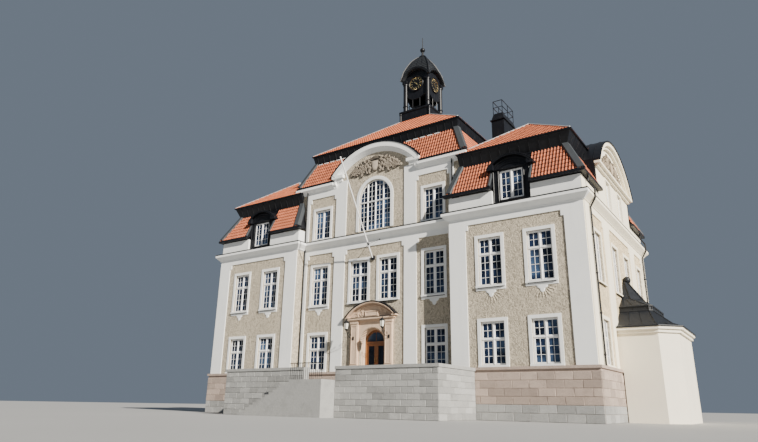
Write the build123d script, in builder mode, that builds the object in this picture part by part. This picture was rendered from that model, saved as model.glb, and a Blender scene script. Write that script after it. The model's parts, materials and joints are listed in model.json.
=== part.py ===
from build123d import *

import os
from math import cos, radians, sin, sqrt

# A free-standing town hall in masonry, in millimetres.
# X runs along the front to the right, Y runs into the building, Z is up.
# The origin is on the ground, below the front plane of the wings, on the axis of the entrance.

# Plan
HALF_WIDTH = 15500
DEPTH = 16600
CENTRE_HALF = 6720
RECESS = 900
WALL = 750
MIDDLE_Y = DEPTH / 2
CENTRE_FRONT = RECESS
CENTRE_BACK = DEPTH - RECESS
WING_MIDDLE = (CENTRE_HALF + HALF_WIDTH) / 2

# Levels
STOREY = 4800
GROUND_LEVEL = 2600
FIRST_LEVEL = GROUND_LEVEL + STOREY
SECOND_LEVEL = FIRST_LEVEL + STOREY
SLAB = 250
LEDGE_TOP = 3000
LEDGE_HEIGHT = 320
PLINTH_STEP = 120
LEDGE_STEP = 190
CORNICE_TOP = 12990
CORNICE_HEIGHT = 560
CORNICE_STEP = 405
ATTIC_TOP = 14050
UPPER_CORNICE_TOP = 17700
UPPER_CORNICE_HEIGHT = 480
UPPER_CORNICE_STEP = 340

# Window openings: width, height and height of the sill over the floor
WINDOW_WIDTH = 1560
SIDE_WINDOW_WIDTH = 1400
GROUND_SILL = 510
GROUND_WINDOW_HEIGHT = 2590
FIRST_SILL = 510
FIRST_WINDOW_HEIGHT = 3070
THIRD_SILL = 1010
THIRD_WINDOW_HEIGHT = 2420
WING_WINDOW_SHARE = 0.3667
INNER_WINDOW_X = 1282
SIDE_WINDOW_NEAR = 1660
SIDE_WINDOW_FAR = 5840
ARCH_RADIUS = 1430
ARCH_SPRING = 15800
ARCH_SILL = 13250
GABLE_WINDOW_WIDTH = 1100
GABLE_WINDOW_HEIGHT = 2070
GABLE_WINDOW_SILL = 13600
GABLE_WINDOW_OFFSET = 1650

# Window frames and glass
FRAME_WIDTH = 70
FRAME_DEPTH = 60
FRAME_SETBACK = 130
GLASS = 24

# Smooth plaster on the rough-cast walls
STRIP_STEP = 60
STRIP_INNER = 2650
STRIP_OUTER = 3660
FIELD_MARGIN = 1180
FIELD_TOP = 11980
NOTCH_WIDTH = 180
NOTCH_HEIGHT = 350
UPPER_FIELD_MARGIN = 330
UPPER_FIELD_TOP = 16700
SIDE_STRIP_NEAR = 2950
SIDE_STRIP_FAR = 4440
SIDE_FIELD_END = 6990
SURROUND_WIDTH = 200
SURROUND_STEP = 45
SILL_HEIGHT = 110
SILL_STEP = 110

# Roofs
EAVES_STEP = 320
EAVES_LEVEL = 14100
GUTTER_HEIGHT = 170
TILE_FOOT = 14270
TILE_FOOT_STEP = 200
TILE_TOP = 16480
TILE_TOP_INSET = 900
BAND_TOP = 17370
BAND_TOP_INSET = 500
WING_INNER_INSET = 480
BAND_INNER_INSET = 430
WING_ROOF_RISE = 2960
ROOF_SHELL = 300
CENTRE_TILE_FOOT = 17870
CENTRE_TILE_TOP = 20100
CENTRE_TILE_INSET_X = 770
CENTRE_TILE_INSET_Y = 750
CENTRE_BAND_TOP = 20850
CENTRE_BAND_INSET_X = 600
CENTRE_BAND_INSET_Y = 520
CENTRE_ROOF_TOP = 24950

# Curved gable over the entrance
GABLE_ARC_CENTRE = 14980
GABLE_OUTER_RADIUS = 5170
GABLE_MOULDING = 520
GABLE_HALF = 4050
GABLE_STEP = 300
GABLE_RETURN_INNER = 2950
METAL = 90
METAL_STEP = 60
GABLE_ROOF_BACK = 2000

# Curved gables on the two ends
END_GABLE_HALF = SIDE_STRIP_FAR
END_ARC_CENTRE = 13400
END_OUTER_RADIUS = 5460
END_MOULDING = 450
END_GABLE_STEP = 380
END_CHORD_HALF = 4700
END_SHELF_HEIGHT = 300
END_ROOF_DEPTH = 2700

# Dormers
DORMER_HALF = 1280
DORMER_FRONT = 200
DORMER_BACK = 1500
DORMER_CHEEK = 140
DORMER_SILL = 13380
DORMER_WINDOW_HEIGHT = 1970
DORMER_TOP = 15600
HOOD_HALF = 1580
HOOD_CROWN = 16400
HOOD_FRONT = -60
HOOD_THICKNESS = 150

# Clock turret
TURRET_BASE_HALF = 1500
TURRET_BASE_TOP = 25850
TURRET_HALF = 1350
TURRET_PANEL_INSET = 150
TURRET_COLUMN_RADIUS = 200
TURRET_RING_STEP = 40
TURRET_RING_HEIGHT = 120
TURRET_CORNER_STEP = 30
TURRET_CORNER_HEIGHT = 320
TURRET_FLOOR = 150
DOME_FOOT = 29220
DOME_TOP = 32020
DOME_HALF = 1500
DOME_ARCH_CROWN = 30220
DOME_ARCH_THICKNESS = 200
DOME_TIP_HALF = 290
LANTERN_OPENING_HALF = 330
LANTERN_OPENING_SILL = 26350
LANTERN_OPENING_TOP = 27100
DIAL_RADIUS = 660
DIAL_LEVEL = 28670
DIAL_THICKNESS = 40
COLLAR_RADIUS = 340
COLLAR_HEIGHT = 70
BALL_RADIUS = 230
BALL_LEVEL = 32830
SPIRE_TOP = 34200

# Clock hands, driven on one arbor in the middle of each dial
ARBOR_RADIUS = 20
HAND_PLATE = 12
HAND_GAP = 10
HAND_CLEARANCE = 0.3
MINUTE_LENGTH = 560
HOUR_LENGTH = 360
HAND_TAIL = 170
HAND_WIDTH = 56
HOUR_HAND_WIDTH = 73
HAND_SHOULDER = 0.8
HOUR_OF_DAY = 10
MINUTE_OF_HOUR = 23

# Chimneys
CHIMNEY_OFFSET = 930
CHIMNEY_WIDTH = 1050
CHIMNEY_DEPTH = 2600
CHIMNEY_TOP = 23480
CHIMNEY_CAP_HEIGHT = 660
CHIMNEY_FLANGE = 80
CHIMNEY_FLANGE_STEP = 90
CHIMNEY_TAPER = 140
CHIMNEY_CLEARANCE = 5
RAIL_HEIGHT = 1150
RAIL_BAR = 40

# Entrance
DOOR_HALF = 1030
DOOR_SPRING = 4950
PORTAL_HEAD = 6900
LEAF_PLANE = 1470
LEAF_THICKNESS = 60
LEAF_WIDTH = 800
LEAF_HEIGHT = 2320
DOOR_GAP = 8
DOOR_FRAME_DEPTH = 120
TRANSOM = 130
LEAF_STILE = 150
LEAF_RAIL = 650
HANDLE_HEIGHT = 1050
HANDLE_LENGTH = 280
HANDLE_STAND = 50
HANDLE_BAR = 22
HINGE_STAND = 20
HINGE_END = 260
HINGE_LENGTH = 70
HINGE_STRAP = 60
KNUCKLE_RADIUS = 12
PIN_RADIUS = 6
HINGE_CLEARANCE = 0.3
LINING_STEP = 50
LINING_FRONTS = (1020, 1150)
PORTAL_FRONT = 730
PORTAL_ARCH_FRONT = 860
PORTAL_ARCH_HALF = 1070
PORTAL_PIER_INNER = 1150
PORTAL_PIER_OUTER = 1780
PIER_BASE_HEIGHT = 350
PIER_CAPITAL_HEIGHT = 180
PIER_STEP = 20
PORTAL_SHELF = 6480
PORTAL_SHELF_TOP = 6700
PORTAL_SHELF_BED = 80
PORTAL_SHELF_HALF = 1990
PORTAL_SHELF_FRONT = 600
HOOD_HALF_CHORD = 2170
PORTAL_HOOD_CROWN = 7810
PORTAL_HOOD_FOOT = 6780
PORTAL_HOOD_FRONT = 520
PORTAL_HOOD_THICKNESS = 150
TABLET_HALF = 600
TABLET_HEIGHT = 420
LANTERN_X = 1525
LANTERN_Y = -110
LANTERN_Z = 6050
LANTERN_CAGE = ((-330, 40), (-210, 120), (210, 175))
LANTERN_CAP = ((210, 215), (260, 190), (430, 30))
LANTERN_BAR = 30
LANTERN_PLATE_Z = 5280
LANTERN_PLATE = 120
FLAG_FOOT_Z = 11040
FLAG_LENGTH = 7700
FLAG_ANGLE = 57
FLAG_RADIUS = 45
FLAG_PLATE = (260, 150, 300)
FLAG_COLLAR = 160
FLAG_COLLAR_RADIUS = 70
FLAG_STRUT_LEVEL = 11930
FLAG_STRUT_RADIUS = 14
FLAG_STRUT_PLATE = 80
FLAG_STRUT_HIGH = 12360
FLAG_STRUT_X_HIGH = 570
FLAG_STRUT_LOW = 11240
FLAG_STRUT_X_LOW = 1370

# Terrace in front of the entrance
TERRACE_FRONT = -4650
TERRACE_HALF = 8300
TERRACE_LEVEL = 2150
TERRACE_WALL = 450
PARAPET_TOP = 2960
COPING_HEIGHT = 180
COPING_STEP = 70
GATE_HALF = 1250
LANDING_DEPTH = 1300
STEP_RISE = 150
STEP_RUN = 330
RAILING_HEIGHT = 950
RAILING_BARS = 17
RAILING_BAR = 28
RAILING_TOP = 60

# One-storey annex on the right side
ANNEX_HALF = 3500
ANNEX_REACH = 3310
ANNEX_CHAMFER = 980
ANNEX_WALL = 400
ANNEX_WALL_TOP = 5120
ANNEX_CORNICE = 380
ANNEX_CORNICE_STEP = 250
ANNEX_FLARE = 550
ANNEX_FLARE_HEIGHT = 230
ANNEX_BAND_FOOT = 6650
ANNEX_BAND_TOP = 6950
ANNEX_BAND_INSET = 1400
ANNEX_WAIST_HALF = 1150
ANNEX_WAIST = 7600
ANNEX_ROOF_TOP = 8950
ANNEX_BALL = 250

# Rain-water pipes: in the corners beside the middle part, and near the ends of the side walls
PIPE_RADIUS = 55
PIPE_CLEARANCE = 5
PIPE_STAND = 90
CORNER_PIPE_Y = 950
SWAN_NECK_FOOT = 12200
SWAN_NECK_RISE = 550
SWAN_NECK_STEP = 480

RAISED_HALF = CENTRE_HALF + WALL
OUTER_WINDOW_X = (STRIP_OUTER + CENTRE_HALF - UPPER_FIELD_MARGIN) / 2
GROUND_HEAD = GROUND_LEVEL + GROUND_SILL + GROUND_WINDOW_HEIGHT
FIRST_HEAD = FIRST_LEVEL + FIRST_SILL + FIRST_WINDOW_HEIGHT
THIRD_HEAD = SECOND_LEVEL + THIRD_SILL + THIRD_WINDOW_HEIGHT
GROUND_ROW = (GROUND_LEVEL + GROUND_SILL, GROUND_HEAD)
FIRST_ROW = (FIRST_LEVEL + FIRST_SILL, FIRST_HEAD)
THIRD_ROW = (SECOND_LEVEL + THIRD_SILL, THIRD_HEAD)
WING_WINDOW_OFFSET = WING_WINDOW_SHARE * (HALF_WIDTH - CENTRE_HALF) / 2
WING_WINDOWS = (WING_MIDDLE - WING_WINDOW_OFFSET, WING_MIDDLE + WING_WINDOW_OFFSET)
SIDE_WINDOWS = tuple(
    MIDDLE_Y + offset
    for offset in (-SIDE_WINDOW_FAR, -SIDE_WINDOW_NEAR, SIDE_WINDOW_NEAR, SIDE_WINDOW_FAR)
)
GABLE_FOOT = GABLE_ARC_CENTRE + sqrt(GABLE_OUTER_RADIUS**2 - GABLE_HALF**2)
GABLE_METAL_RADIUS = GABLE_OUTER_RADIUS + METAL
END_FOOT = END_ARC_CENTRE + sqrt(END_OUTER_RADIUS**2 - END_CHORD_HALF**2)
END_METAL_RADIUS = END_OUTER_RADIUS + METAL
HOOD_RISE = HOOD_CROWN - DORMER_TOP
HOOD_RADIUS = (HOOD_HALF**2 + HOOD_RISE**2) / (2 * HOOD_RISE)
HOOD_CENTRE = HOOD_CROWN - HOOD_RADIUS
CHIMNEY_X = CENTRE_HALF + CHIMNEY_OFFSET
CHIMNEY_SHAFT_TOP = CHIMNEY_TOP - CHIMNEY_CAP_HEIGHT
LEAF_BACK = LEAF_PLANE + LEAF_THICKNESS
FRAME_FRONT = LEAF_BACK - DOOR_FRAME_DEPTH
LEAF_EDGE = DOOR_GAP / 2 + LEAF_WIDTH
JAMB_INNER = LEAF_EDGE + DOOR_GAP
LEAF_FOOT = GROUND_LEVEL + DOOR_GAP
LEAF_TOP = LEAF_FOOT + LEAF_HEIGHT
TRANSOM_TOP = LEAF_TOP + DOOR_GAP + TRANSOM
JUNCTION_PIPE = (CENTRE_HALF - PIPE_STAND, CENTRE_FRONT - STRIP_STEP - PIPE_STAND)
JUNCTION_PIPE_TOP = UPPER_CORNICE_TOP - UPPER_CORNICE_HEIGHT / 2
THROUGH = 50

os.makedirs("parts", exist_ok=True)


def block(x_span, y_span, z_span, mode=Mode.ADD):
    """A box between two corners, in the part that is being built."""
    sizes = [high - low for low, high in (x_span, y_span, z_span)]
    centre = [(low + high) / 2 for low, high in (x_span, y_span, z_span)]
    with Locations(tuple(centre)):
        Box(*sizes, mode=mode)


def wing_strip(x_span, y_span, z_span, mode=Mode.ADD):
    """The same block on both sides of the middle."""
    block(x_span, y_span, z_span, mode=mode)
    block((-x_span[1], -x_span[0]), y_span, z_span, mode=mode)


def plan_outline(step):
    """The building's plan with its two recesses, moved out by step."""
    with BuildSketch() as outline:
        with Locations((0, MIDDLE_Y)):
            Rectangle(2 * (HALF_WIDTH + step), DEPTH + 2 * step)
        recess_half = CENTRE_HALF - step
        for edge, inward in ((0, 1), (DEPTH, -1)):
            reach = (RECESS + WALL) * 2
            with Locations((0, edge + inward * (RECESS - step - reach / 2))):
                Rectangle(2 * recess_half, reach, mode=Mode.SUBTRACT)
    return outline.sketch


def centre_outline(step):
    """The plan of the raised middle part, moved out by step."""
    with BuildSketch() as outline:
        with Locations((0, MIDDLE_Y)):
            Rectangle(2 * (RAISED_HALF + step), CENTRE_BACK - CENTRE_FRONT + 2 * step)
    return outline.sketch


def ring(outer, inner, z_span):
    """A flat ring between two outlines."""
    with BuildSketch(Plane.XY.offset(z_span[0])) as face:
        add(outer)
        add(inner, mode=Mode.SUBTRACT)
    extrude(face.sketch, amount=z_span[1] - z_span[0])


def slab(outline, z_span, mode=Mode.ADD):
    """A flat slab on an outline."""
    with BuildSketch(Plane.XY.offset(z_span[0])) as face:
        add(outline)
    extrude(face.sketch, amount=z_span[1] - z_span[0], mode=mode)


def moulding(outline, top, height, step):
    """A cornice in four courses, each further out: bed, sloping cove, corona and splayed capping."""
    courses = ((0, 0.24, 0.28, 0.28), (0.24, 0.5, 0.34, 0.66), (0.5, 0.84, 0.88, 0.88), (0.84, 1, 0.9, 1))
    for foot, head, low_reach, high_reach in courses:
        faces = []
        for share, reach in ((foot, low_reach), (head, high_reach)):
            level = Location((0, 0, top - height * (1 - share)))
            faces.append(outline(step * reach).moved(level).face())
        loft(faces, ruled=True)
    slab(outline(0), (top - height, top), mode=Mode.SUBTRACT)


def frustum(low, high, mode=Mode.ADD):
    """A solid between two level rectangles, each given as x span, y span and z."""
    faces = []
    for x_span, y_span, z in (low, high):
        with BuildSketch(Plane.XY.offset(z)) as level:
            with Locations(((x_span[0] + x_span[1]) / 2, (y_span[0] + y_span[1]) / 2)):
                Rectangle(x_span[1] - x_span[0], y_span[1] - y_span[0])
        faces.append(level.sketch.face())
    loft(faces, ruled=True, mode=mode)


def inset(rectangle, amount):
    """The same level rectangle, smaller by amount on every side."""
    x_span, y_span, z = rectangle
    return (x_span[0] + amount, x_span[1] - amount), (y_span[0] + amount, y_span[1] - amount), z


def sloped_shell(low, high, thickness=ROOF_SHELL):
    """The sloping sides of a roof, open at the top and the foot."""
    frustum(low, high)
    frustum(inset(low, thickness), inset(high, thickness), mode=Mode.SUBTRACT)


def arc_segment(plane, centre, radius, half_chord, floor):
    """The face under a round arc, down to a level floor, as wide as its chord."""
    crown = centre + radius
    with BuildSketch(plane) as face:
        with Locations((0, centre)):
            Circle(radius)
        with Locations((0, (floor + crown) / 2)):
            Rectangle(2 * half_chord, crown - floor, mode=Mode.INTERSECT)
    return face.sketch


def arc_band(outer, inner, plane=Plane.XY):
    """The face between two arc segments, each given as centre, radius, half chord and floor."""
    with BuildSketch(plane) as face:
        add(arc_segment(Plane.XY, *outer))
        add(arc_segment(Plane.XY, *inner), mode=Mode.SUBTRACT)
    return face.sketch


def window_cuts(plane_is_front, across, row, width, outer, depth):
    """Openings for one row of windows through a wall whose outer face is at outer."""
    through = abs(depth) + 2 * THROUGH
    middle = outer + depth / 2
    level = (row[0] + row[1]) / 2
    if plane_is_front:
        with Locations(*[(centre, middle, level) for centre in across]):
            Box(width, through, row[1] - row[0], mode=Mode.SUBTRACT)
    else:
        with Locations(*[(middle, centre, level) for centre in across]):
            Box(through, width, row[1] - row[0], mode=Mode.SUBTRACT)


def finish(builder, name):
    """Names a finished piece and writes it out."""
    builder.part.label = name
    export_step(builder.part, f"parts/{name}.step")


def hipped_roof(rectangle, rise):
    """A solid hipped roof of one pitch, its ridge along Y."""
    (left, right), (front, back), foot = rectangle
    ridge_inset = (right - left) / 2
    with BuildPart() as roof:
        with BuildSketch(Plane.XZ.offset(-front)) as across:
            with BuildLine():
                Polyline((left, foot), (right, foot), ((left + right) / 2, foot + rise), close=True)
            make_face()
        extrude(across.sketch, amount=front - back)
        with BuildSketch(Plane.YZ.offset(left)) as along:
            with BuildLine():
                Polyline(
                    (front, foot),
                    (back, foot),
                    (back - ridge_inset, foot + rise),
                    (front + ridge_inset, foot + rise),
                    close=True,
                )
            make_face()
        extrude(along.sketch, amount=right - left, mode=Mode.INTERSECT)
    return roof.part


# Levels of the roofs: the foot of the tiles, the top of the tiles and the top of the black bands
wing_foot = (
    (CENTRE_HALF, HALF_WIDTH + TILE_FOOT_STEP),
    (-TILE_FOOT_STEP, DEPTH + TILE_FOOT_STEP),
    TILE_FOOT,
)
wing_tile_top = (
    (CENTRE_HALF + WING_INNER_INSET, HALF_WIDTH - TILE_TOP_INSET),
    (TILE_TOP_INSET, DEPTH - TILE_TOP_INSET),
    TILE_TOP,
)
wing_band_top = (
    (CENTRE_HALF + BAND_INNER_INSET, HALF_WIDTH - BAND_TOP_INSET),
    (BAND_TOP_INSET, DEPTH - BAND_TOP_INSET),
    BAND_TOP,
)
centre_foot = (
    (-RAISED_HALF - TILE_FOOT_STEP, RAISED_HALF + TILE_FOOT_STEP),
    (CENTRE_FRONT - TILE_FOOT_STEP, CENTRE_BACK + TILE_FOOT_STEP),
    CENTRE_TILE_FOOT,
)
centre_tile_top = (
    (CENTRE_TILE_INSET_X - RAISED_HALF, RAISED_HALF - CENTRE_TILE_INSET_X),
    (CENTRE_FRONT + CENTRE_TILE_INSET_Y, CENTRE_BACK - CENTRE_TILE_INSET_Y),
    CENTRE_TILE_TOP,
)
centre_band_top = (
    (CENTRE_BAND_INSET_X - RAISED_HALF, RAISED_HALF - CENTRE_BAND_INSET_X),
    (CENTRE_FRONT + CENTRE_BAND_INSET_Y, CENTRE_BACK - CENTRE_BAND_INSET_Y),
    CENTRE_BAND_TOP,
)
centre_roof_top = (
    (-TURRET_BASE_HALF, TURRET_BASE_HALF),
    (MIDDLE_Y - TURRET_BASE_HALF, MIDDLE_Y + TURRET_BASE_HALF),
    CENTRE_ROOF_TOP,
)
wing_roof_outside = hipped_roof(wing_band_top, WING_ROOF_RISE)
wing_roof_inside = wing_roof_outside.moved(Location((0, 0, -ROOF_SHELL)))

# Bodies that others are cut by: the vaults of the gables, the dormers, the chimneys, the raised
# middle part, the roofs of the wings and the pipes beside the middle part
with BuildPart() as gable_space:
    vault = arc_segment(
        Plane.XZ.offset(2 * RECESS), GABLE_ARC_CENTRE, GABLE_METAL_RADIUS, GABLE_HALF + METAL, CORNICE_TOP
    )
    extrude(vault, amount=-(GABLE_ROOF_BACK + 2 * RECESS))

with BuildPart() as end_space:
    vault = arc_segment(
        Plane.YZ.offset(HALF_WIDTH - END_ROOF_DEPTH),
        END_ARC_CENTRE,
        END_METAL_RADIUS,
        END_CHORD_HALF,
        CORNICE_TOP,
    )
    extrude(vault.moved(Location((0, MIDDLE_Y, 0))), amount=END_ROOF_DEPTH + 2 * RECESS)
    mirror(about=Plane.YZ)

with BuildPart() as dormer_space:
    hood_foot = DORMER_TOP - HOOD_THICKNESS
    hood = arc_segment(Plane.XZ.offset(2 * RECESS), HOOD_CENTRE, HOOD_RADIUS, HOOD_HALF, hood_foot)
    extrude(hood.moved(Location((WING_MIDDLE, 0, 0))), amount=-(DORMER_BACK + 2 * RECESS))
    block(
        (WING_MIDDLE - DORMER_HALF, WING_MIDDLE + DORMER_HALF),
        (-2 * RECESS, DORMER_BACK),
        (CORNICE_TOP, DORMER_TOP),
    )
    mirror(about=Plane.YZ)

with BuildPart() as chimney_space:
    reach = CHIMNEY_CLEARANCE
    wing_strip(
        (CHIMNEY_X - CHIMNEY_WIDTH / 2 - reach, CHIMNEY_X + CHIMNEY_WIDTH / 2 + reach),
        (MIDDLE_Y - CHIMNEY_DEPTH / 2 - reach, MIDDLE_Y + CHIMNEY_DEPTH / 2 + reach),
        (SECOND_LEVEL, CHIMNEY_TOP),
    )

with BuildPart() as raised_space:
    inner_slope = CENTRE_HALF + WING_INNER_INSET + ROOF_SHELL
    block((-inner_slope, inner_slope), (CENTRE_FRONT, CENTRE_BACK), (CORNICE_TOP, BAND_TOP))
    block((-RAISED_HALF, RAISED_HALF), (CENTRE_FRONT, CENTRE_BACK), (BAND_TOP, UPPER_CORNICE_TOP))

with BuildPart() as wing_space:
    frustum(wing_tile_top, wing_band_top)
    add(wing_roof_outside)
    mirror(about=Plane.YZ)

with BuildPart() as pipe_space:
    for side in (-1, 1):
        for y in (JUNCTION_PIPE[1], DEPTH - JUNCTION_PIPE[1]):
            with Locations((side * JUNCTION_PIPE[0], y, (LEDGE_TOP + JUNCTION_PIPE_TOP) / 2)):
                Cylinder(PIPE_RADIUS + PIPE_CLEARANCE, JUNCTION_PIPE_TOP - LEDGE_TOP)
# Plinth with its ledge, and the doorway cut down to the ground floor
with BuildPart() as plinth:
    inside = plan_outline(-WALL)
    ledge_foot = LEDGE_TOP - LEDGE_HEIGHT
    ledge_middle = LEDGE_TOP - LEDGE_HEIGHT / 2
    ring(plan_outline(PLINTH_STEP), inside, (0, ledge_foot))
    ring(plan_outline(LEDGE_STEP / 2), inside, (ledge_foot, ledge_middle))
    ring(plan_outline(LEDGE_STEP), inside, (ledge_middle, LEDGE_TOP))
    block(
        (-DOOR_HALF, DOOR_HALF),
        (CENTRE_FRONT - 2 * LEDGE_STEP, CENTRE_FRONT + WALL + THROUGH),
        (GROUND_LEVEL, LEDGE_TOP + THROUGH),
        mode=Mode.SUBTRACT,
    )
finish(plinth, "plinth")

# Street walls of the wings, each with its return to the middle part
with BuildPart() as front_wall_right:
    block((CENTRE_HALF, HALF_WIDTH), (0, WALL), (LEDGE_TOP, CORNICE_TOP))
    block((CENTRE_HALF, CENTRE_HALF + WALL), (WALL, CENTRE_FRONT + WALL), (LEDGE_TOP, CORNICE_TOP))
    for row in (GROUND_ROW, FIRST_ROW):
        window_cuts(True, WING_WINDOWS, row, WINDOW_WIDTH, 0, WALL)
finish(front_wall_right, "front_wall_right")

with BuildPart() as front_wall_left:
    mirror(front_wall_right.part, about=Plane.YZ)
finish(front_wall_left, "front_wall_left")

# Middle wall beside the doorway, up to the springing of the first floor
with BuildPart() as centre_wall_right:
    block((DOOR_HALF, CENTRE_HALF), (CENTRE_FRONT, CENTRE_FRONT + WALL), (LEDGE_TOP, PORTAL_HEAD))
    window_cuts(True, (OUTER_WINDOW_X,), GROUND_ROW, WINDOW_WIDTH, CENTRE_FRONT, WALL)
finish(centre_wall_right, "centre_wall_right")

with BuildPart() as centre_wall_left:
    mirror(centre_wall_right.part, about=Plane.YZ)
finish(centre_wall_left, "centre_wall_left")

# Wall over the doorway, with the round head of the door cut out of it
with BuildPart() as wall_over_door:
    block((-DOOR_HALF, DOOR_HALF), (CENTRE_FRONT, CENTRE_FRONT + WALL), (DOOR_SPRING, PORTAL_HEAD))
    with Locations(Location((0, CENTRE_FRONT + WALL / 2, DOOR_SPRING), (90, 0, 0))):
        Cylinder(DOOR_HALF, WALL + 2 * THROUGH, mode=Mode.SUBTRACT)
finish(wall_over_door, "wall_over_door")

# Middle wall from over the doorway to the upper cornice, wider over the wings
with BuildPart() as centre_wall_upper:
    wall_span = (CENTRE_FRONT, CENTRE_FRONT + WALL)
    block((-CENTRE_HALF, CENTRE_HALF), wall_span, (PORTAL_HEAD, CORNICE_TOP))
    block((-RAISED_HALF, RAISED_HALF), wall_span, (CORNICE_TOP, UPPER_CORNICE_TOP))
    first_floor_x = (-OUTER_WINDOW_X, -INNER_WINDOW_X, INNER_WINDOW_X, OUTER_WINDOW_X)
    window_cuts(True, first_floor_x, FIRST_ROW, WINDOW_WIDTH, CENTRE_FRONT, WALL)
    window_cuts(True, (-OUTER_WINDOW_X, OUTER_WINDOW_X), THIRD_ROW, WINDOW_WIDTH, CENTRE_FRONT, WALL)
    window_cuts(True, (0,), (ARCH_SILL, ARCH_SPRING), 2 * ARCH_RADIUS, CENTRE_FRONT, WALL)
    with Locations(Location((0, CENTRE_FRONT + WALL / 2, ARCH_SPRING), (90, 0, 0))):
        Cylinder(ARCH_RADIUS, WALL + 2 * THROUGH, mode=Mode.SUBTRACT)
finish(centre_wall_upper, "centre_wall_upper")

# End walls of the wings, and the plain rear walls
with BuildPart() as side_wall_right:
    block((HALF_WIDTH - WALL, HALF_WIDTH), (WALL, DEPTH - WALL), (LEDGE_TOP, CORNICE_TOP))
    window_cuts(False, SIDE_WINDOWS, FIRST_ROW, SIDE_WINDOW_WIDTH, HALF_WIDTH, -WALL)
    beside_annex = (SIDE_WINDOWS[0], SIDE_WINDOWS[-1])
    window_cuts(False, beside_annex, GROUND_ROW, SIDE_WINDOW_WIDTH, HALF_WIDTH, -WALL)
finish(side_wall_right, "side_wall_right")

with BuildPart() as side_wall_left:
    block((-HALF_WIDTH, WALL - HALF_WIDTH), (WALL, DEPTH - WALL), (LEDGE_TOP, CORNICE_TOP))
    for row in (GROUND_ROW, FIRST_ROW):
        window_cuts(False, SIDE_WINDOWS, row, SIDE_WINDOW_WIDTH, -HALF_WIDTH, WALL)
finish(side_wall_left, "side_wall_left")

with BuildPart() as back_wall:
    mirror(front_wall_right.part, about=Plane.XZ.offset(-MIDDLE_Y))
    mirror(front_wall_left.part, about=Plane.XZ.offset(-MIDDLE_Y))
    block((-CENTRE_HALF, CENTRE_HALF), (CENTRE_BACK - WALL, CENTRE_BACK), (LEDGE_TOP, CORNICE_TOP))
    block((-RAISED_HALF, RAISED_HALF), (CENTRE_BACK - WALL, CENTRE_BACK), (CORNICE_TOP, UPPER_CORNICE_TOP))
    for row in (GROUND_ROW, FIRST_ROW, THIRD_ROW):
        window_cuts(True, first_floor_x, row, WINDOW_WIDTH, CENTRE_BACK, -WALL)
finish(back_wall, "back_wall")

# Side walls of the raised middle part, standing on the second floor
with BuildPart() as third_storey_sides:
    wing_strip(
        (CENTRE_HALF, RAISED_HALF),
        (CENTRE_FRONT + WALL, CENTRE_BACK - WALL),
        (SECOND_LEVEL, UPPER_CORNICE_TOP),
    )
    add(chimney_space.part, mode=Mode.SUBTRACT)
finish(third_storey_sides, "third_storey_sides")

# Low walls over the main cornice, open where the dormers and the end gables stand
with BuildPart() as attic_walls:
    attic = (CORNICE_TOP, ATTIC_TOP)
    wing_strip((CENTRE_HALF, HALF_WIDTH), (0, WALL), attic)
    wing_strip((CENTRE_HALF, CENTRE_HALF + WALL), (WALL, CENTRE_FRONT), attic)
    wing_strip((CENTRE_HALF, HALF_WIDTH), (DEPTH - WALL, DEPTH), attic)
    wing_strip((CENTRE_HALF, CENTRE_HALF + WALL), (CENTRE_BACK, DEPTH - WALL), attic)
    for near, far in ((WALL, MIDDLE_Y - END_GABLE_HALF), (MIDDLE_Y + END_GABLE_HALF, DEPTH - WALL)):
        wing_strip((HALF_WIDTH - WALL, HALF_WIDTH), (near, far), attic)
    wing_strip(
        (WING_MIDDLE - DORMER_HALF, WING_MIDDLE + DORMER_HALF),
        (-THROUGH, WALL + THROUGH),
        (CORNICE_TOP - THROUGH, ATTIC_TOP + THROUGH),
        mode=Mode.SUBTRACT,
    )
finish(attic_walls, "attic_walls")


def notched_field(x_span, z_span):
    """A rough-cast field: a rectangle whose two upper corners are notched."""
    left, right = x_span
    foot, top = z_span
    with BuildLine() as outline:
        Polyline(
            (left, foot),
            (right, foot),
            (right, top - NOTCH_HEIGHT),
            (right - NOTCH_WIDTH, top - NOTCH_HEIGHT),
            (right - NOTCH_WIDTH, top),
            (left + NOTCH_WIDTH, top),
            (left + NOTCH_WIDTH, top - NOTCH_HEIGHT),
            (left, top - NOTCH_HEIGHT),
            close=True,
        )
    make_face(outline.edges(), mode=Mode.SUBTRACT)


def plaster_border(plane, x_span, z_span, fields):
    """Smooth plaster that stands proud of a wall round its rough-cast fields."""
    with BuildSketch(plane) as face:
        with Locations(((x_span[0] + x_span[1]) / 2, (z_span[0] + z_span[1]) / 2)):
            Rectangle(x_span[1] - x_span[0], z_span[1] - z_span[0])
        for field_x, field_z in fields:
            notched_field(field_x, field_z)
    extrude(face.sketch, amount=STRIP_STEP)


FRONT_PLANE = Plane.XZ
CENTRE_PLANE = Plane.XZ.offset(-CENTRE_FRONT)
RIGHT_PLANE = Plane.YZ.offset(HALF_WIDTH)
strip_top = CORNICE_TOP - CORNICE_HEIGHT
field_foot = LEDGE_TOP
field = (field_foot - THROUGH, FIELD_TOP)

with BuildPart() as front_strips:
    wing_field = (CENTRE_HALF + FIELD_MARGIN, HALF_WIDTH - FIELD_MARGIN)
    plaster_border(FRONT_PLANE, (CENTRE_HALF, HALF_WIDTH), (LEDGE_TOP, strip_top), ((wing_field, field),))
    mirror(about=Plane.YZ)

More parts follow.
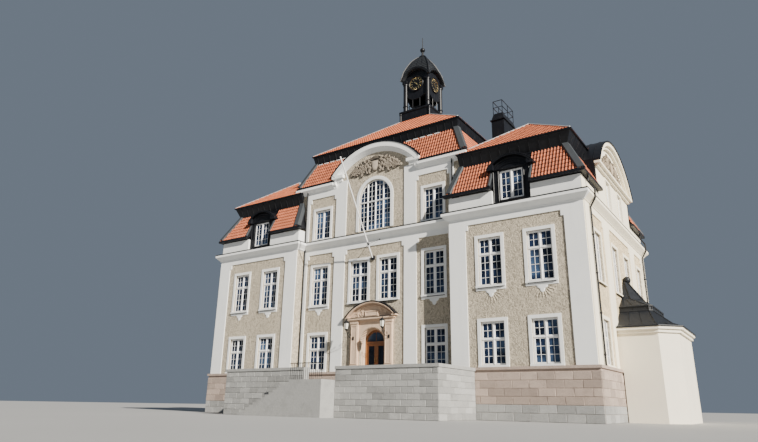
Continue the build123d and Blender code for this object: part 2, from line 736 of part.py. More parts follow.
with BuildPart() as centre_strips:
    side_bay = (STRIP_OUTER, CENTRE_HALF - UPPER_FIELD_MARGIN)
    left_bay = (-side_bay[1], -side_bay[0])
    middle_bay = (-STRIP_INNER, STRIP_INNER)
    edge = CENTRE_HALF - STRIP_STEP
    plaster_border(
        CENTRE_PLANE,
        (-edge, edge),
        (LEDGE_TOP, strip_top),
        ((side_bay, field), (left_bay, field), (middle_bay, field)),
    )
    upper_fields = [(bay, (CORNICE_TOP - THROUGH, UPPER_FIELD_TOP)) for bay in (side_bay, left_bay)]
    upper_fields.append((middle_bay, (CORNICE_TOP - THROUGH, UPPER_CORNICE_TOP + THROUGH + NOTCH_HEIGHT)))
    plaster_border(
        CENTRE_PLANE,
        (-CENTRE_HALF, CENTRE_HALF),
        (CORNICE_TOP, UPPER_CORNICE_TOP - UPPER_CORNICE_HEIGHT),
        upper_fields,
    )
    wing_strip(
        (STRIP_INNER, STRIP_OUTER),
        (CENTRE_FRONT - STRIP_STEP, CENTRE_FRONT),
        (UPPER_CORNICE_TOP - UPPER_CORNICE_HEIGHT, UPPER_CORNICE_TOP),
    )

with BuildPart() as end_strips:
    end_fields = (
        ((MIDDLE_Y - SIDE_FIELD_END, MIDDLE_Y - SIDE_STRIP_FAR), field),
        ((MIDDLE_Y - SIDE_STRIP_NEAR, MIDDLE_Y + SIDE_STRIP_NEAR), field),
        ((MIDDLE_Y + SIDE_STRIP_FAR, MIDDLE_Y + SIDE_FIELD_END), field),
    )
    plaster_border(RIGHT_PLANE, (0, DEPTH), (LEDGE_TOP, strip_top), end_fields)
    mirror(about=Plane.YZ)
    block(
        (HALF_WIDTH, HALF_WIDTH + 2 * STRIP_STEP),
        (MIDDLE_Y - ANNEX_HALF - ANNEX_CORNICE_STEP, MIDDLE_Y + ANNEX_HALF + ANNEX_CORNICE_STEP),
        (0, ANNEX_WALL_TOP + ANNEX_CORNICE),
        mode=Mode.SUBTRACT,
    )

# Cornices: one all round at the foot of the attics, and one round the raised middle part
with BuildPart() as cornices:
    moulding(centre_outline, UPPER_CORNICE_TOP, UPPER_CORNICE_HEIGHT, UPPER_CORNICE_STEP)
    block(
        (-STRIP_OUTER, STRIP_OUTER),
        (CENTRE_FRONT - 2 * UPPER_CORNICE_STEP, CENTRE_FRONT + THROUGH),
        (UPPER_CORNICE_TOP - 2 * UPPER_CORNICE_HEIGHT, UPPER_CORNICE_TOP + THROUGH),
        mode=Mode.SUBTRACT,
    )
    moulding(plan_outline, CORNICE_TOP, CORNICE_HEIGHT, CORNICE_STEP)
    for space in (wing_space, chimney_space, pipe_space):
        add(space.part, mode=Mode.SUBTRACT)
finish(cornices, "cornices")

# Floors, at the levels that the rows of windows show
with BuildPart() as floors:
    for level in (GROUND_LEVEL, FIRST_LEVEL, SECOND_LEVEL):
        slab(plan_outline(-WALL), (level - SLAB, level))
finish(floors, "floors")

# Steep lower slopes of the wings and of the raised middle part
with BuildPart() as mansard_slopes:
    sloped_shell(wing_foot, wing_tile_top)
    mirror(about=Plane.YZ)
    add(raised_space.part, mode=Mode.SUBTRACT)
    sloped_shell(centre_foot, centre_tile_top)
    for space in (end_space, dormer_space, chimney_space, gable_space):
        add(space.part, mode=Mode.SUBTRACT)
finish(mansard_slopes, "mansard_slopes")

# Black bands between the lower and the upper slopes
with BuildPart() as break_bands:
    sloped_shell(wing_tile_top, wing_band_top)
    mirror(about=Plane.YZ)
    add(raised_space.part, mode=Mode.SUBTRACT)
    sloped_shell(centre_tile_top, centre_band_top)
    for space in (end_space, gable_space, chimney_space):
        add(space.part, mode=Mode.SUBTRACT)
finish(break_bands, "break_bands")

# Upper slopes: hipped roofs over the wings, a pavilion roof under the turret
with BuildPart() as upper_roofs:
    add(wing_roof_outside)
    add(wing_roof_inside, mode=Mode.SUBTRACT)
    mirror(about=Plane.YZ)
    for space in (end_space, chimney_space, raised_space):
        add(space.part, mode=Mode.SUBTRACT)
    sloped_shell(centre_band_top, centre_roof_top)
finish(upper_roofs, "upper_roofs")

# Gutters and rain-water pipes; the corner pipes pass round the cornice in a swan neck
with BuildPart() as corner_pipe:
    pipe_x = HALF_WIDTH + STRIP_STEP + PIPE_STAND
    neck_x = HALF_WIDTH + SWAN_NECK_STEP
    neck_foot = SWAN_NECK_FOOT + SWAN_NECK_RISE
    neck_top = EAVES_LEVEL - SWAN_NECK_RISE
    with BuildLine() as run:
        Polyline(
            (pipe_x, CORNER_PIPE_Y, LEDGE_TOP),
            (pipe_x, CORNER_PIPE_Y, SWAN_NECK_FOOT),
            (neck_x, CORNER_PIPE_Y, neck_foot),
            (neck_x, CORNER_PIPE_Y, neck_top - SWAN_NECK_RISE / 2),
            (pipe_x, CORNER_PIPE_Y, neck_top + SWAN_NECK_RISE / 2),
            (pipe_x, CORNER_PIPE_Y, EAVES_LEVEL),
        )
    with BuildSketch(Plane(origin=run.line @ 0, z_dir=run.line % 0)) as section:
        Circle(PIPE_RADIUS)
    sweep(section.sketch, path=run.line, transition=Transition.ROUND)
    mirror(about=Plane.YZ)
    mirror(about=Plane.XZ.offset(-MIDDLE_Y))

with BuildPart() as gutters_and_downpipes:
    ring(centre_outline(EAVES_STEP), centre_outline(0), (UPPER_CORNICE_TOP, CENTRE_TILE_FOOT))
    for space in (gable_space, chimney_space, wing_space):
        add(space.part, mode=Mode.SUBTRACT)
    gutter = (EAVES_LEVEL, EAVES_LEVEL + GUTTER_HEIGHT)
    wing_strip((CENTRE_HALF - RECESS / 3, HALF_WIDTH + EAVES_STEP), (-EAVES_STEP, 0), gutter)
    wing_strip((CENTRE_HALF - RECESS / 3, HALF_WIDTH + EAVES_STEP), (DEPTH, DEPTH + EAVES_STEP), gutter)
    for near, far in ((0, MIDDLE_Y - END_GABLE_HALF), (MIDDLE_Y + END_GABLE_HALF, DEPTH)):
        wing_strip((HALF_WIDTH, HALF_WIDTH + EAVES_STEP), (near, far), gutter)
    wing_strip(
        (WING_MIDDLE - DORMER_HALF, WING_MIDDLE + DORMER_HALF),
        (-EAVES_STEP, THROUGH),
        (ATTIC_TOP, EAVES_LEVEL + 2 * GUTTER_HEIGHT),
        mode=Mode.SUBTRACT,
    )
    for side in (-1, 1):
        for y in (JUNCTION_PIPE[1], DEPTH - JUNCTION_PIPE[1]):
            with Locations((side * JUNCTION_PIPE[0], y, (LEDGE_TOP + JUNCTION_PIPE_TOP) / 2)):
                Cylinder(PIPE_RADIUS, JUNCTION_PIPE_TOP - LEDGE_TOP)
    add(corner_pipe.part)

finish(gutters_and_downpipes, "gutters_and_downpipes")

# Curved gable over the entrance: the wall, a moulding in two steps along its arc, and its returns
GABLE_STEPS = ((1, 0.55), (0.5, 1))
with BuildPart() as centre_gable:
    wall_face = arc_segment(
        CENTRE_PLANE, GABLE_ARC_CENTRE, GABLE_OUTER_RADIUS, STRIP_OUTER, UPPER_CORNICE_TOP
    )
    extrude(wall_face, amount=-WALL)
    for reach, width in GABLE_STEPS:
        inner_radius = GABLE_OUTER_RADIUS - width * GABLE_MOULDING
        arc_moulding = arc_band(
            (GABLE_ARC_CENTRE, GABLE_OUTER_RADIUS, GABLE_HALF, GABLE_FOOT),
            (GABLE_ARC_CENTRE, inner_radius, GABLE_HALF + THROUGH, GABLE_FOOT - THROUGH),
            CENTRE_PLANE,
        )
        extrude(arc_moulding, amount=reach * GABLE_STEP)
    return_middle = (UPPER_CORNICE_TOP + GABLE_FOOT) / 2
    wing_strip(
        (GABLE_RETURN_INNER, GABLE_HALF),
        (CENTRE_FRONT - GABLE_STEP, CENTRE_FRONT),
        (return_middle, GABLE_FOOT),
    )
    wing_strip(
        (GABLE_RETURN_INNER + GABLE_STEP / 2, GABLE_HALF - GABLE_STEP / 2),
        (CENTRE_FRONT - GABLE_STEP / 2, CENTRE_FRONT),
        (UPPER_CORNICE_TOP, return_middle),
    )
finish(centre_gable, "centre_gable")

# Curved gables on the ends, with a shelf across the feet of the arc
with BuildPart() as side_gables:
    along = Location((0, MIDDLE_Y, 0))
    wall_face = arc_segment(
        RIGHT_PLANE, END_ARC_CENTRE, END_OUTER_RADIUS, END_GABLE_HALF, CORNICE_TOP
    )
    extrude(wall_face.moved(along), amount=-WALL)
    window_cuts(
        False,
        (MIDDLE_Y - GABLE_WINDOW_OFFSET, MIDDLE_Y + GABLE_WINDOW_OFFSET),
        (GABLE_WINDOW_SILL, GABLE_WINDOW_SILL + GABLE_WINDOW_HEIGHT),
        GABLE_WINDOW_WIDTH,
        HALF_WIDTH,
        -WALL,
    )
    for reach, width in GABLE_STEPS:
        inner_radius = END_OUTER_RADIUS - width * END_MOULDING
        end_moulding = arc_band(
            (END_ARC_CENTRE, END_OUTER_RADIUS, END_CHORD_HALF, END_FOOT),
            (END_ARC_CENTRE, inner_radius, END_CHORD_HALF + THROUGH, END_FOOT - THROUGH),
            RIGHT_PLANE,
        )
        extrude(end_moulding.moved(along), amount=reach * END_GABLE_STEP)
    for reach, foot, head in ((1, 0.5, 0), (0.5, 1, 0.5)):
        half = END_CHORD_HALF - (1 - reach) * END_GABLE_STEP
        block(
            (HALF_WIDTH, HALF_WIDTH + reach * END_GABLE_STEP),
            (MIDDLE_Y - half, MIDDLE_Y + half),
            (END_FOOT - foot * END_SHELF_HEIGHT, END_FOOT - head * END_SHELF_HEIGHT),
        )
    mirror(about=Plane.YZ)
finish(side_gables, "side_gables")

# Sheet-metal vaults behind the three curved gables, closed down to the walls at their sides, and
# standing a little before the mouldings
with BuildPart() as gable_roofs:
    end_vault = arc_band(
        (END_ARC_CENTRE, END_METAL_RADIUS, END_CHORD_HALF, ATTIC_TOP),
        (END_ARC_CENTRE, END_OUTER_RADIUS, END_GABLE_HALF, ATTIC_TOP - THROUGH),
        Plane.YZ.offset(HALF_WIDTH - END_ROOF_DEPTH),
    )
    extrude(end_vault.moved(along), amount=END_ROOF_DEPTH)
    end_edge = arc_band(
        (END_ARC_CENTRE, END_METAL_RADIUS, END_CHORD_HALF, END_FOOT),
        (END_ARC_CENTRE, END_OUTER_RADIUS, END_CHORD_HALF + THROUGH, END_FOOT - THROUGH),
        RIGHT_PLANE,
    )
    extrude(end_edge.moved(along), amount=END_GABLE_STEP + METAL_STEP)
    mirror(about=Plane.YZ)
    middle_vault = arc_band(
        (GABLE_ARC_CENTRE, GABLE_METAL_RADIUS, GABLE_HALF, UPPER_CORNICE_TOP),
        (GABLE_ARC_CENTRE, GABLE_OUTER_RADIUS, STRIP_OUTER, UPPER_CORNICE_TOP - THROUGH),
        Plane.XZ.offset(-GABLE_ROOF_BACK),
    )
    extrude(middle_vault, amount=GABLE_ROOF_BACK - CENTRE_FRONT)
    middle_edge = arc_band(
        (GABLE_ARC_CENTRE, GABLE_METAL_RADIUS, GABLE_HALF, GABLE_FOOT),
        (GABLE_ARC_CENTRE, GABLE_OUTER_RADIUS, GABLE_HALF + THROUGH, GABLE_FOOT - THROUGH),
        CENTRE_PLANE,
    )
    extrude(middle_edge, amount=GABLE_STEP + METAL_STEP)
finish(gable_roofs, "gable_roofs")

# Dormers: a front with its window, two cheeks and a curved hood
with BuildPart() as dormers:
    block(
        (WING_MIDDLE - DORMER_HALF, WING_MIDDLE + DORMER_HALF),
        (DORMER_FRONT, DORMER_BACK),
        (CORNICE_TOP, DORMER_TOP),
    )
    block(
        (WING_MIDDLE - DORMER_HALF + DORMER_CHEEK, WING_MIDDLE + DORMER_HALF - DORMER_CHEEK),
        (DORMER_FRONT + DORMER_CHEEK, DORMER_BACK + THROUGH),
        (CORNICE_TOP - THROUGH, DORMER_TOP + THROUGH),
        mode=Mode.SUBTRACT,
    )
    block(
        (WING_MIDDLE - WINDOW_WIDTH / 2, WING_MIDDLE + WINDOW_WIDTH / 2),
        (DORMER_FRONT - THROUGH, DORMER_FRONT + DORMER_CHEEK + THROUGH),
        (DORMER_SILL, DORMER_SILL + DORMER_WINDOW_HEIGHT),
        mode=Mode.SUBTRACT,
    )
    with BuildSketch(Plane.XZ.offset(-DORMER_BACK)) as hood_face:
        add(arc_segment(Plane.XY, HOOD_CENTRE, HOOD_RADIUS, HOOD_HALF, DORMER_TOP - HOOD_THICKNESS))
        add(
            arc_segment(
                Plane.XY,
                HOOD_CENTRE,
                HOOD_RADIUS - HOOD_THICKNESS,
                DORMER_HALF - DORMER_CHEEK,
                DORMER_TOP - 2 * HOOD_THICKNESS,
            ),
            mode=Mode.SUBTRACT,
        )
    extrude(hood_face.sketch.moved(Location((WING_MIDDLE, 0, 0))), amount=DORMER_BACK - HOOD_FRONT)
    tympanum = arc_segment(
        Plane.XZ.offset(-DORMER_FRONT - DORMER_CHEEK),
        HOOD_CENTRE,
        HOOD_RADIUS - HOOD_THICKNESS,
        DORMER_HALF - DORMER_CHEEK,
        DORMER_TOP,
    )
    extrude(tympanum.moved(Location((WING_MIDDLE, 0, 0))), amount=DORMER_CHEEK)
    mirror(about=Plane.YZ)
finish(dormers, "dormers")

# Clock turret
turret_at = Location((0, MIDDLE_Y, 0))
with BuildPart() as turret_base:
    with Locations((0, MIDDLE_Y, (CENTRE_ROOF_TOP + TURRET_BASE_TOP) / 2)):
        Box(2 * TURRET_BASE_HALF, 2 * TURRET_BASE_HALF, TURRET_BASE_TOP - CENTRE_ROOF_TOP)
    with Locations((0, MIDDLE_Y, TURRET_BASE_TOP + TURRET_FLOOR / 2)):
        Box(2 * TURRET_BASE_HALF + TURRET_FLOOR, 2 * TURRET_BASE_HALF + TURRET_FLOOR, TURRET_FLOOR)
finish(turret_base, "turret_base")

TURRET_FOOT = TURRET_BASE_TOP + TURRET_FLOOR
PANEL_HALF = TURRET_HALF - TURRET_PANEL_INSET
DOME_ARCH_RISE = DOME_ARCH_CROWN - DOME_FOOT
DOME_ARCH_RADIUS = (DOME_HALF**2 + DOME_ARCH_RISE**2) / (2 * DOME_ARCH_RISE)
DOME_ARCH_CENTRE = DOME_ARCH_CROWN - DOME_ARCH_RADIUS


def crossed_vault(half, radius, foot):
    """Two round vaults that cross over the middle of the turret."""
    arc = arc_segment(Plane.XZ, DOME_ARCH_CENTRE, radius, half, foot)
    with BuildPart() as vault:
        extrude(arc, amount=DOME_HALF, both=True)
        extrude(arc.moved(Location((0, 0, 0), (0, 0, 90))), amount=DOME_HALF, both=True)
    return vault.part.moved(turret_at)


dome_inside = crossed_vault(
    DOME_HALF - DOME_ARCH_THICKNESS, DOME_ARCH_RADIUS - DOME_ARCH_THICKNESS, TURRET_FOOT
)
with BuildPart() as turret_body:
    with Locations((0, MIDDLE_Y, (TURRET_FOOT + DOME_ARCH_CROWN) / 2)):
        Box(2 * PANEL_HALF, 2 * PANEL_HALF, DOME_ARCH_CROWN - TURRET_FOOT)
    add(dome_inside, mode=Mode.INTERSECT)
    with Locations((0, MIDDLE_Y, (TURRET_FOOT + DOME_ARCH_CROWN) / 2)):
        inner = 2 * (PANEL_HALF - TURRET_PANEL_INSET)
        Box(inner, inner, DOME_ARCH_CROWN - TURRET_FOOT, mode=Mode.SUBTRACT)
    with Locations((0, MIDDLE_Y, (LANTERN_OPENING_SILL + LANTERN_OPENING_TOP) / 2)):
        opening_height = LANTERN_OPENING_TOP - LANTERN_OPENING_SILL
        Box(2 * LANTERN_OPENING_HALF, 2 * TURRET_HALF, opening_height, mode=Mode.SUBTRACT)
        Box(2 * TURRET_HALF, 2 * LANTERN_OPENING_HALF, opening_height, mode=Mode.SUBTRACT)
    corner_foot = DOME_FOOT - TURRET_CORNER_HEIGHT
    spacing = 2 * (TURRET_HALF - TURRET_COLUMN_RADIUS)
    with Locations((0, MIDDLE_Y, 0)):
        with GridLocations(spacing, spacing, 2, 2):
            column = (Align.CENTER, Align.CENTER, Align.MIN)
            with Locations((0, 0, TURRET_FOOT)):
                Cylinder(TURRET_COLUMN_RADIUS, corner_foot - TURRET_FOOT, align=column)
            with Locations((0, 0, TURRET_FOOT), (0, 0, corner_foot - TURRET_RING_HEIGHT)):
                Cylinder(TURRET_COLUMN_RADIUS + TURRET_RING_STEP, TURRET_RING_HEIGHT, align=column)
            with Locations((0, 0, corner_foot)):
                corner = 2 * (TURRET_COLUMN_RADIUS + TURRET_CORNER_STEP)
                Box(corner, corner, TURRET_CORNER_HEIGHT, align=column)
finish(turret_body, "turret_body")

# The dome: crossed round vaults over the four faces, and a bell that rises from them
bell_rises = (0, 0.346, 0.507, 0.632, 0.779, 0.907, 1)
bell_shares = (1, 0.843, 0.702, 0.579, 0.413, 0.198, 0)
with BuildPart() as turret_dome:
    add(crossed_vault(DOME_HALF, DOME_ARCH_RADIUS, DOME_FOOT))
    courses = []
    for rise, share in zip(bell_rises, bell_shares):
        half = DOME_TIP_HALF + (DOME_HALF - DOME_TIP_HALF) * share
        with BuildSketch(Plane.XY.offset(DOME_FOOT + (DOME_TOP - DOME_FOOT) * rise)) as course:
            with Locations((0, MIDDLE_Y)):
                Rectangle(2 * half, 2 * half)
        courses.append(course.sketch.face())
    loft(courses, ruled=True)
    add(dome_inside, mode=Mode.SUBTRACT)
finish(turret_dome, "turret_dome")

with BuildPart() as turret_spire:
    with BuildSketch(Plane.XZ) as spire_profile:
        with BuildLine():
            Polyline(
                (0, DOME_TOP),
                (COLLAR_RADIUS, DOME_TOP),
                (COLLAR_RADIUS, DOME_TOP + COLLAR_HEIGHT),
                (BALL_RADIUS / 2, DOME_TOP + 3 * COLLAR_HEIGHT),
                (BALL_RADIUS / 3, BALL_LEVEL),
                (BALL_RADIUS / 6, BALL_LEVEL + BALL_RADIUS),
                (BALL_RADIUS / 8, SPIRE_TOP),
                (0, SPIRE_TOP),
                close=True,
            )
        make_face()
    revolve(spire_profile.sketch, axis=Axis.Z)
    with Locations((0, 0, BALL_LEVEL)):
        Sphere(BALL_RADIUS)
turret_spire.part = turret_spire.part.moved(turret_at)
finish(turret_spire, "turret_spire")

# One dial on each side of the turret, with the arbor that carries the hands
DIAL_FACE = PANEL_HALF + DIAL_THICKNESS
HOUR_PLANE = DIAL_FACE + HAND_GAP
MINUTE_PLANE = HOUR_PLANE + HAND_PLATE + HAND_GAP
ARBOR_END = MINUTE_PLANE + HAND_PLATE + HAND_GAP
SIDES = {"front": 0, "right": 90, "back": 180, "left": 270}


def side_place(turn):
    """The place of one side of the turret, turned about its axis, at the height of the dials."""
    return Location((0, MIDDLE_Y, DIAL_LEVEL), (0, 0, turn))


with BuildPart() as dial:
    with Locations(Location((0, -(PANEL_HALF + DIAL_FACE) / 2, 0), (90, 0, 0))):
        Cylinder(DIAL_RADIUS, DIAL_THICKNESS)
    with Locations(Location((0, -(DIAL_FACE + ARBOR_END) / 2, 0), (90, 0, 0))):
        Cylinder(ARBOR_RADIUS, ARBOR_END - DIAL_FACE)

with BuildPart() as clock_dials:
    for turn in SIDES.values():
        add(dial.part.moved(side_place(turn)))
finish(clock_dials, "clock_dials")


def clock_hand(length, width, plane, clock_angle):
    """A tapered hand with a balancing tail, turned clockwise from twelve."""
    with BuildPart() as hand:
        with BuildSketch(Plane.XZ.offset(plane)) as blade:
            with BuildLine():
                Polyline(
                    (-width / 2, 0),
                    (-width / 4, length * HAND_SHOULDER),
                    (0, length),
                    (width / 4, length * HAND_SHOULDER),
                    (width / 2, 0),
                    (width, -HAND_TAIL),
                    (-width, -HAND_TAIL),
                    close=True,
                )
            make_face()
            Circle(width)
            Circle(ARBOR_RADIUS + HAND_CLEARANCE, mode=Mode.SUBTRACT)
        extrude(blade.sketch, amount=HAND_PLATE)
    return hand.part.moved(Location((0, 0, 0), (0, clock_angle, 0)))


minute_angle = 360 * MINUTE_OF_HOUR / 60
hour_angle = 360 * (HOUR_OF_DAY + MINUTE_OF_HOUR / 60) / 12
hands = {
    "hour_hand": clock_hand(HOUR_LENGTH, HOUR_HAND_WIDTH, HOUR_PLANE, hour_angle),
    "minute_hand": clock_hand(MINUTE_LENGTH, HAND_WIDTH, MINUTE_PLANE, minute_angle),
}
for side, turn in SIDES.items():
    for hand_name, solid in hands.items():
        with BuildPart() as hand:
            add(solid.moved(side_place(turn)))
        finish(hand, f"{hand_name}_{side}")

# Chimneys between the roofs, each with a flange, a tapered cap and a railing round its top
with BuildPart() as chimneys:
    chimney_x = (CHIMNEY_X - CHIMNEY_WIDTH / 2, CHIMNEY_X + CHIMNEY_WIDTH / 2)
    chimney_y = (MIDDLE_Y - CHIMNEY_DEPTH / 2, MIDDLE_Y + CHIMNEY_DEPTH / 2)
    block(chimney_x, chimney_y, (SECOND_LEVEL, CHIMNEY_SHAFT_TOP))
    flange_x, flange_y, flange_foot = inset((chimney_x, chimney_y, CHIMNEY_SHAFT_TOP), -CHIMNEY_FLANGE_STEP)
    block(flange_x, flange_y, (flange_foot, flange_foot + CHIMNEY_FLANGE))
    cap_foot = (chimney_x, chimney_y, CHIMNEY_SHAFT_TOP + CHIMNEY_FLANGE)
    cap_x, cap_y, _ = inset(cap_foot, CHIMNEY_TAPER)
    frustum(cap_foot, (cap_x, cap_y, CHIMNEY_TOP))
    with Locations((CHIMNEY_X, MIDDLE_Y, CHIMNEY_TOP + RAIL_HEIGHT / 2)):
        with GridLocations(cap_x[1] - cap_x[0], (cap_y[1] - cap_y[0]) / 2, 2, 3):
            Box(RAIL_BAR, RAIL_BAR, RAIL_HEIGHT)
    for height in (RAIL_HEIGHT / 2, RAIL_HEIGHT):
        rail = (CHIMNEY_TOP + height - RAIL_BAR, CHIMNEY_TOP + height)
        for x in cap_x:
            block((x - RAIL_BAR / 2, x + RAIL_BAR / 2), cap_y, rail)
        for y in cap_y:
            block(cap_x, (y - RAIL_BAR / 2, y + RAIL_BAR / 2), rail)
    mirror(about=Plane.YZ)
finish(chimneys, "chimneys")


# Window frames and glass, set back in every opening
def frame_ring(width, height):
    """One window frame, upright in the XZ plane, round its own middle."""
    with BuildSketch(Plane.XZ.offset(-FRAME_DEPTH / 2)) as face:
        Rectangle(width, height)
        Rectangle(width - 2 * FRAME_WIDTH, height - 2 * FRAME_WIDTH, mode=Mode.SUBTRACT)
    return extrude(face.sketch, amount=FRAME_DEPTH)


def pane(width, height):
    """The glass of one window frame."""
    with BuildSketch(Plane.XZ.offset(-GLASS / 2)) as face:
        Rectangle(width - 2 * FRAME_WIDTH, height - 2 * FRAME_WIDTH)
    return extrude(face.sketch, amount=GLASS)


def glazed(shape):
    """That shape in every window of the four fronts, as separate solids."""
    solids = []
    for x, row, width, face, inward in front_windows:
        y = face + inward * (FRAME_SETBACK + FRAME_DEPTH / 2)
        solids.append(shape(width, row[1] - row[0]).moved(Location((x, y, (row[0] + row[1]) / 2))))
    for y, row, width, side in side_windows:
        x = side * (HALF_WIDTH - FRAME_SETBACK - FRAME_DEPTH / 2)
        turned = Location((x, y, (row[0] + row[1]) / 2), (0, 0, 90))
        solids.append(shape(width, row[1] - row[0]).moved(turned))
    return solids


front_windows = []
for side in (-1, 1):
    for row in (GROUND_ROW, FIRST_ROW):
        for x in WING_WINDOWS:
            front_windows.append((side * x, row, WINDOW_WIDTH, 0, 1))
            front_windows.append((side * x, row, WINDOW_WIDTH, DEPTH, -1))
    for row in (GROUND_ROW, FIRST_ROW, THIRD_ROW):
        front_windows.append((side * OUTER_WINDOW_X, row, WINDOW_WIDTH, CENTRE_FRONT, 1))
        front_windows.append((side * OUTER_WINDOW_X, row, WINDOW_WIDTH, CENTRE_BACK, -1))
        front_windows.append((side * INNER_WINDOW_X, row, WINDOW_WIDTH, CENTRE_BACK, -1))
    front_windows.append((side * INNER_WINDOW_X, FIRST_ROW, WINDOW_WIDTH, CENTRE_FRONT, 1))
    dormer_row = (DORMER_SILL, DORMER_SILL + DORMER_WINDOW_HEIGHT)
    front_windows.append((side * WING_MIDDLE, dormer_row, WINDOW_WIDTH, DORMER_FRONT - FRAME_DEPTH, 1))
side_windows = []
for y in SIDE_WINDOWS:
    for side in (-1, 1):
        side_windows.append((y, FIRST_ROW, SIDE_WINDOW_WIDTH, side))
        if side < 0 or y in (SIDE_WINDOWS[0], SIDE_WINDOWS[-1]):
            side_windows.append((y, GROUND_ROW, SIDE_WINDOW_WIDTH, side))
gable_row = (GABLE_WINDOW_SILL, GABLE_WINDOW_SILL + GABLE_WINDOW_HEIGHT)
for side in (-1, 1):
    for offset_y in (-GABLE_WINDOW_OFFSET, GABLE_WINDOW_OFFSET):
        side_windows.append((MIDDLE_Y + offset_y, gable_row, GABLE_WINDOW_WIDTH, side))

arch_low = CENTRE_FRONT + FRAME_SETBACK
arch_plane = Plane.XZ.offset(-arch_low - FRAME_DEPTH)


def arched_pane(inset_by):
    """The outline of the large arched window, drawn in by inset_by."""
    half = ARCH_RADIUS - inset_by
    with BuildSketch(arch_plane) as pane:
        with BuildLine():
            ThreePointArc((-half, ARCH_SPRING), (0, ARCH_SPRING + half), (half, ARCH_SPRING))
            foot = ARCH_SILL + inset_by
            Polyline((half, ARCH_SPRING), (half, foot), (-half, foot), (-half, ARCH_SPRING))
        make_face()
    return pane.sketch


frame_solids = glazed(frame_ring)
glass_solids = glazed(pane)

with BuildPart() as window_frames:
    extrude(arched_pane(0), amount=FRAME_DEPTH)
    extrude(arched_pane(FRAME_WIDTH), amount=FRAME_DEPTH, mode=Mode.SUBTRACT)
    add(frame_solids, clean=False)
finish(window_frames, "window_frames")

with BuildPart() as window_glass:
    extrude(arched_pane(FRAME_WIDTH).moved(Location((0, (GLASS - FRAME_DEPTH) / 2, 0))), amount=GLASS)
    add(glass_solids, clean=False)
    fanlight = arc_segment(Plane.XZ.offset(-LEAF_PLANE), DOOR_SPRING, JAMB_INNER, JAMB_INNER, TRANSOM_TOP)
    extrude(fanlight, amount=GLASS)
finish(window_glass, "window_glass")


# Smooth bands round the windows, and their sills
def band(centre, row, width, plane):
    """A flat band round one window with a sill below it, on a wall's plane."""
    outer = width + 2 * SURROUND_WIDTH
    with BuildSketch(plane) as face:
        with Locations((centre, (row[0] + row[1] + SURROUND_WIDTH) / 2)):
            Rectangle(outer, row[1] - row[0] + SURROUND_WIDTH)
        with Locations((centre, (row[0] + row[1]) / 2)):
            Rectangle(width, row[1] - row[0], mode=Mode.SUBTRACT)
    extrude(face.sketch, amount=SURROUND_STEP)
    with BuildSketch(plane) as sill:
        with Locations((centre, row[0] - SILL_HEIGHT / 2)):
            Rectangle(outer, SILL_HEIGHT)
    extrude(sill.sketch, amount=SILL_STEP)


BACK_TURN = Plane.XZ.offset(-MIDDLE_Y)
with BuildPart() as front_bands:
    for row in (GROUND_ROW, FIRST_ROW):
        for x in WING_WINDOWS:
            band(x, row, WINDOW_WIDTH, FRONT_PLANE)
        band(OUTER_WINDOW_X, row, WINDOW_WIDTH, CENTRE_PLANE)
    band(OUTER_WINDOW_X, THIRD_ROW, WINDOW_WIDTH, CENTRE_PLANE)
    mirror(about=Plane.YZ)

with BuildPart() as middle_bands:
    for x in (-INNER_WINDOW_X, INNER_WINDOW_X):
        band(x, FIRST_ROW, WINDOW_WIDTH, CENTRE_PLANE)

with BuildPart() as end_bands:
    for y, row, width, side in side_windows:
        if side > 0:
            band(y, row, width, RIGHT_PLANE)

with BuildPart() as left_end_bands:
    for y, row, width, side in side_windows:
        if side < 0:
            band(y, row, width, RIGHT_PLANE)

with BuildPart() as window_surrounds:
    add(front_bands.part)
    add(middle_bands.part)
    mirror(front_bands.part, about=BACK_TURN)
    mirror(middle_bands.part, about=BACK_TURN)
    for row in (GROUND_ROW, THIRD_ROW):
        for x in (-INNER_WINDOW_X, INNER_WINDOW_X):
            band(-x, row, WINDOW_WIDTH, Plane((0, CENTRE_BACK, 0), x_dir=(-1, 0, 0), z_dir=(0, 1, 0)))
    add(end_bands.part)
    mirror(left_end_bands.part, about=Plane.YZ)
finish(window_surrounds, "window_surrounds")

# The smooth plaster of all four sides, cut where the bands round the windows lie
with BuildPart() as plaster_strips:
    add(front_strips.part)
    add(centre_strips.part)
    add(end_strips.part)
    mirror(front_strips.part, about=BACK_TURN)
    add(window_surrounds.part, mode=Mode.SUBTRACT)
finish(plaster_strips, "plaster_strips")


def round_head(plane, outer, inner, amount):
    """The upper half of a flat ring about the springing of the doorway."""
    with BuildSketch(plane) as head:
        with Locations((0, DOOR_SPRING)):
            Circle(outer)
            Circle(inner, mode=Mode.SUBTRACT)
        with Locations((0, DOOR_SPRING - outer)):
            Rectangle(2 * outer, 2 * outer, mode=Mode.SUBTRACT)
    extrude(head.sketch, amount=amount)


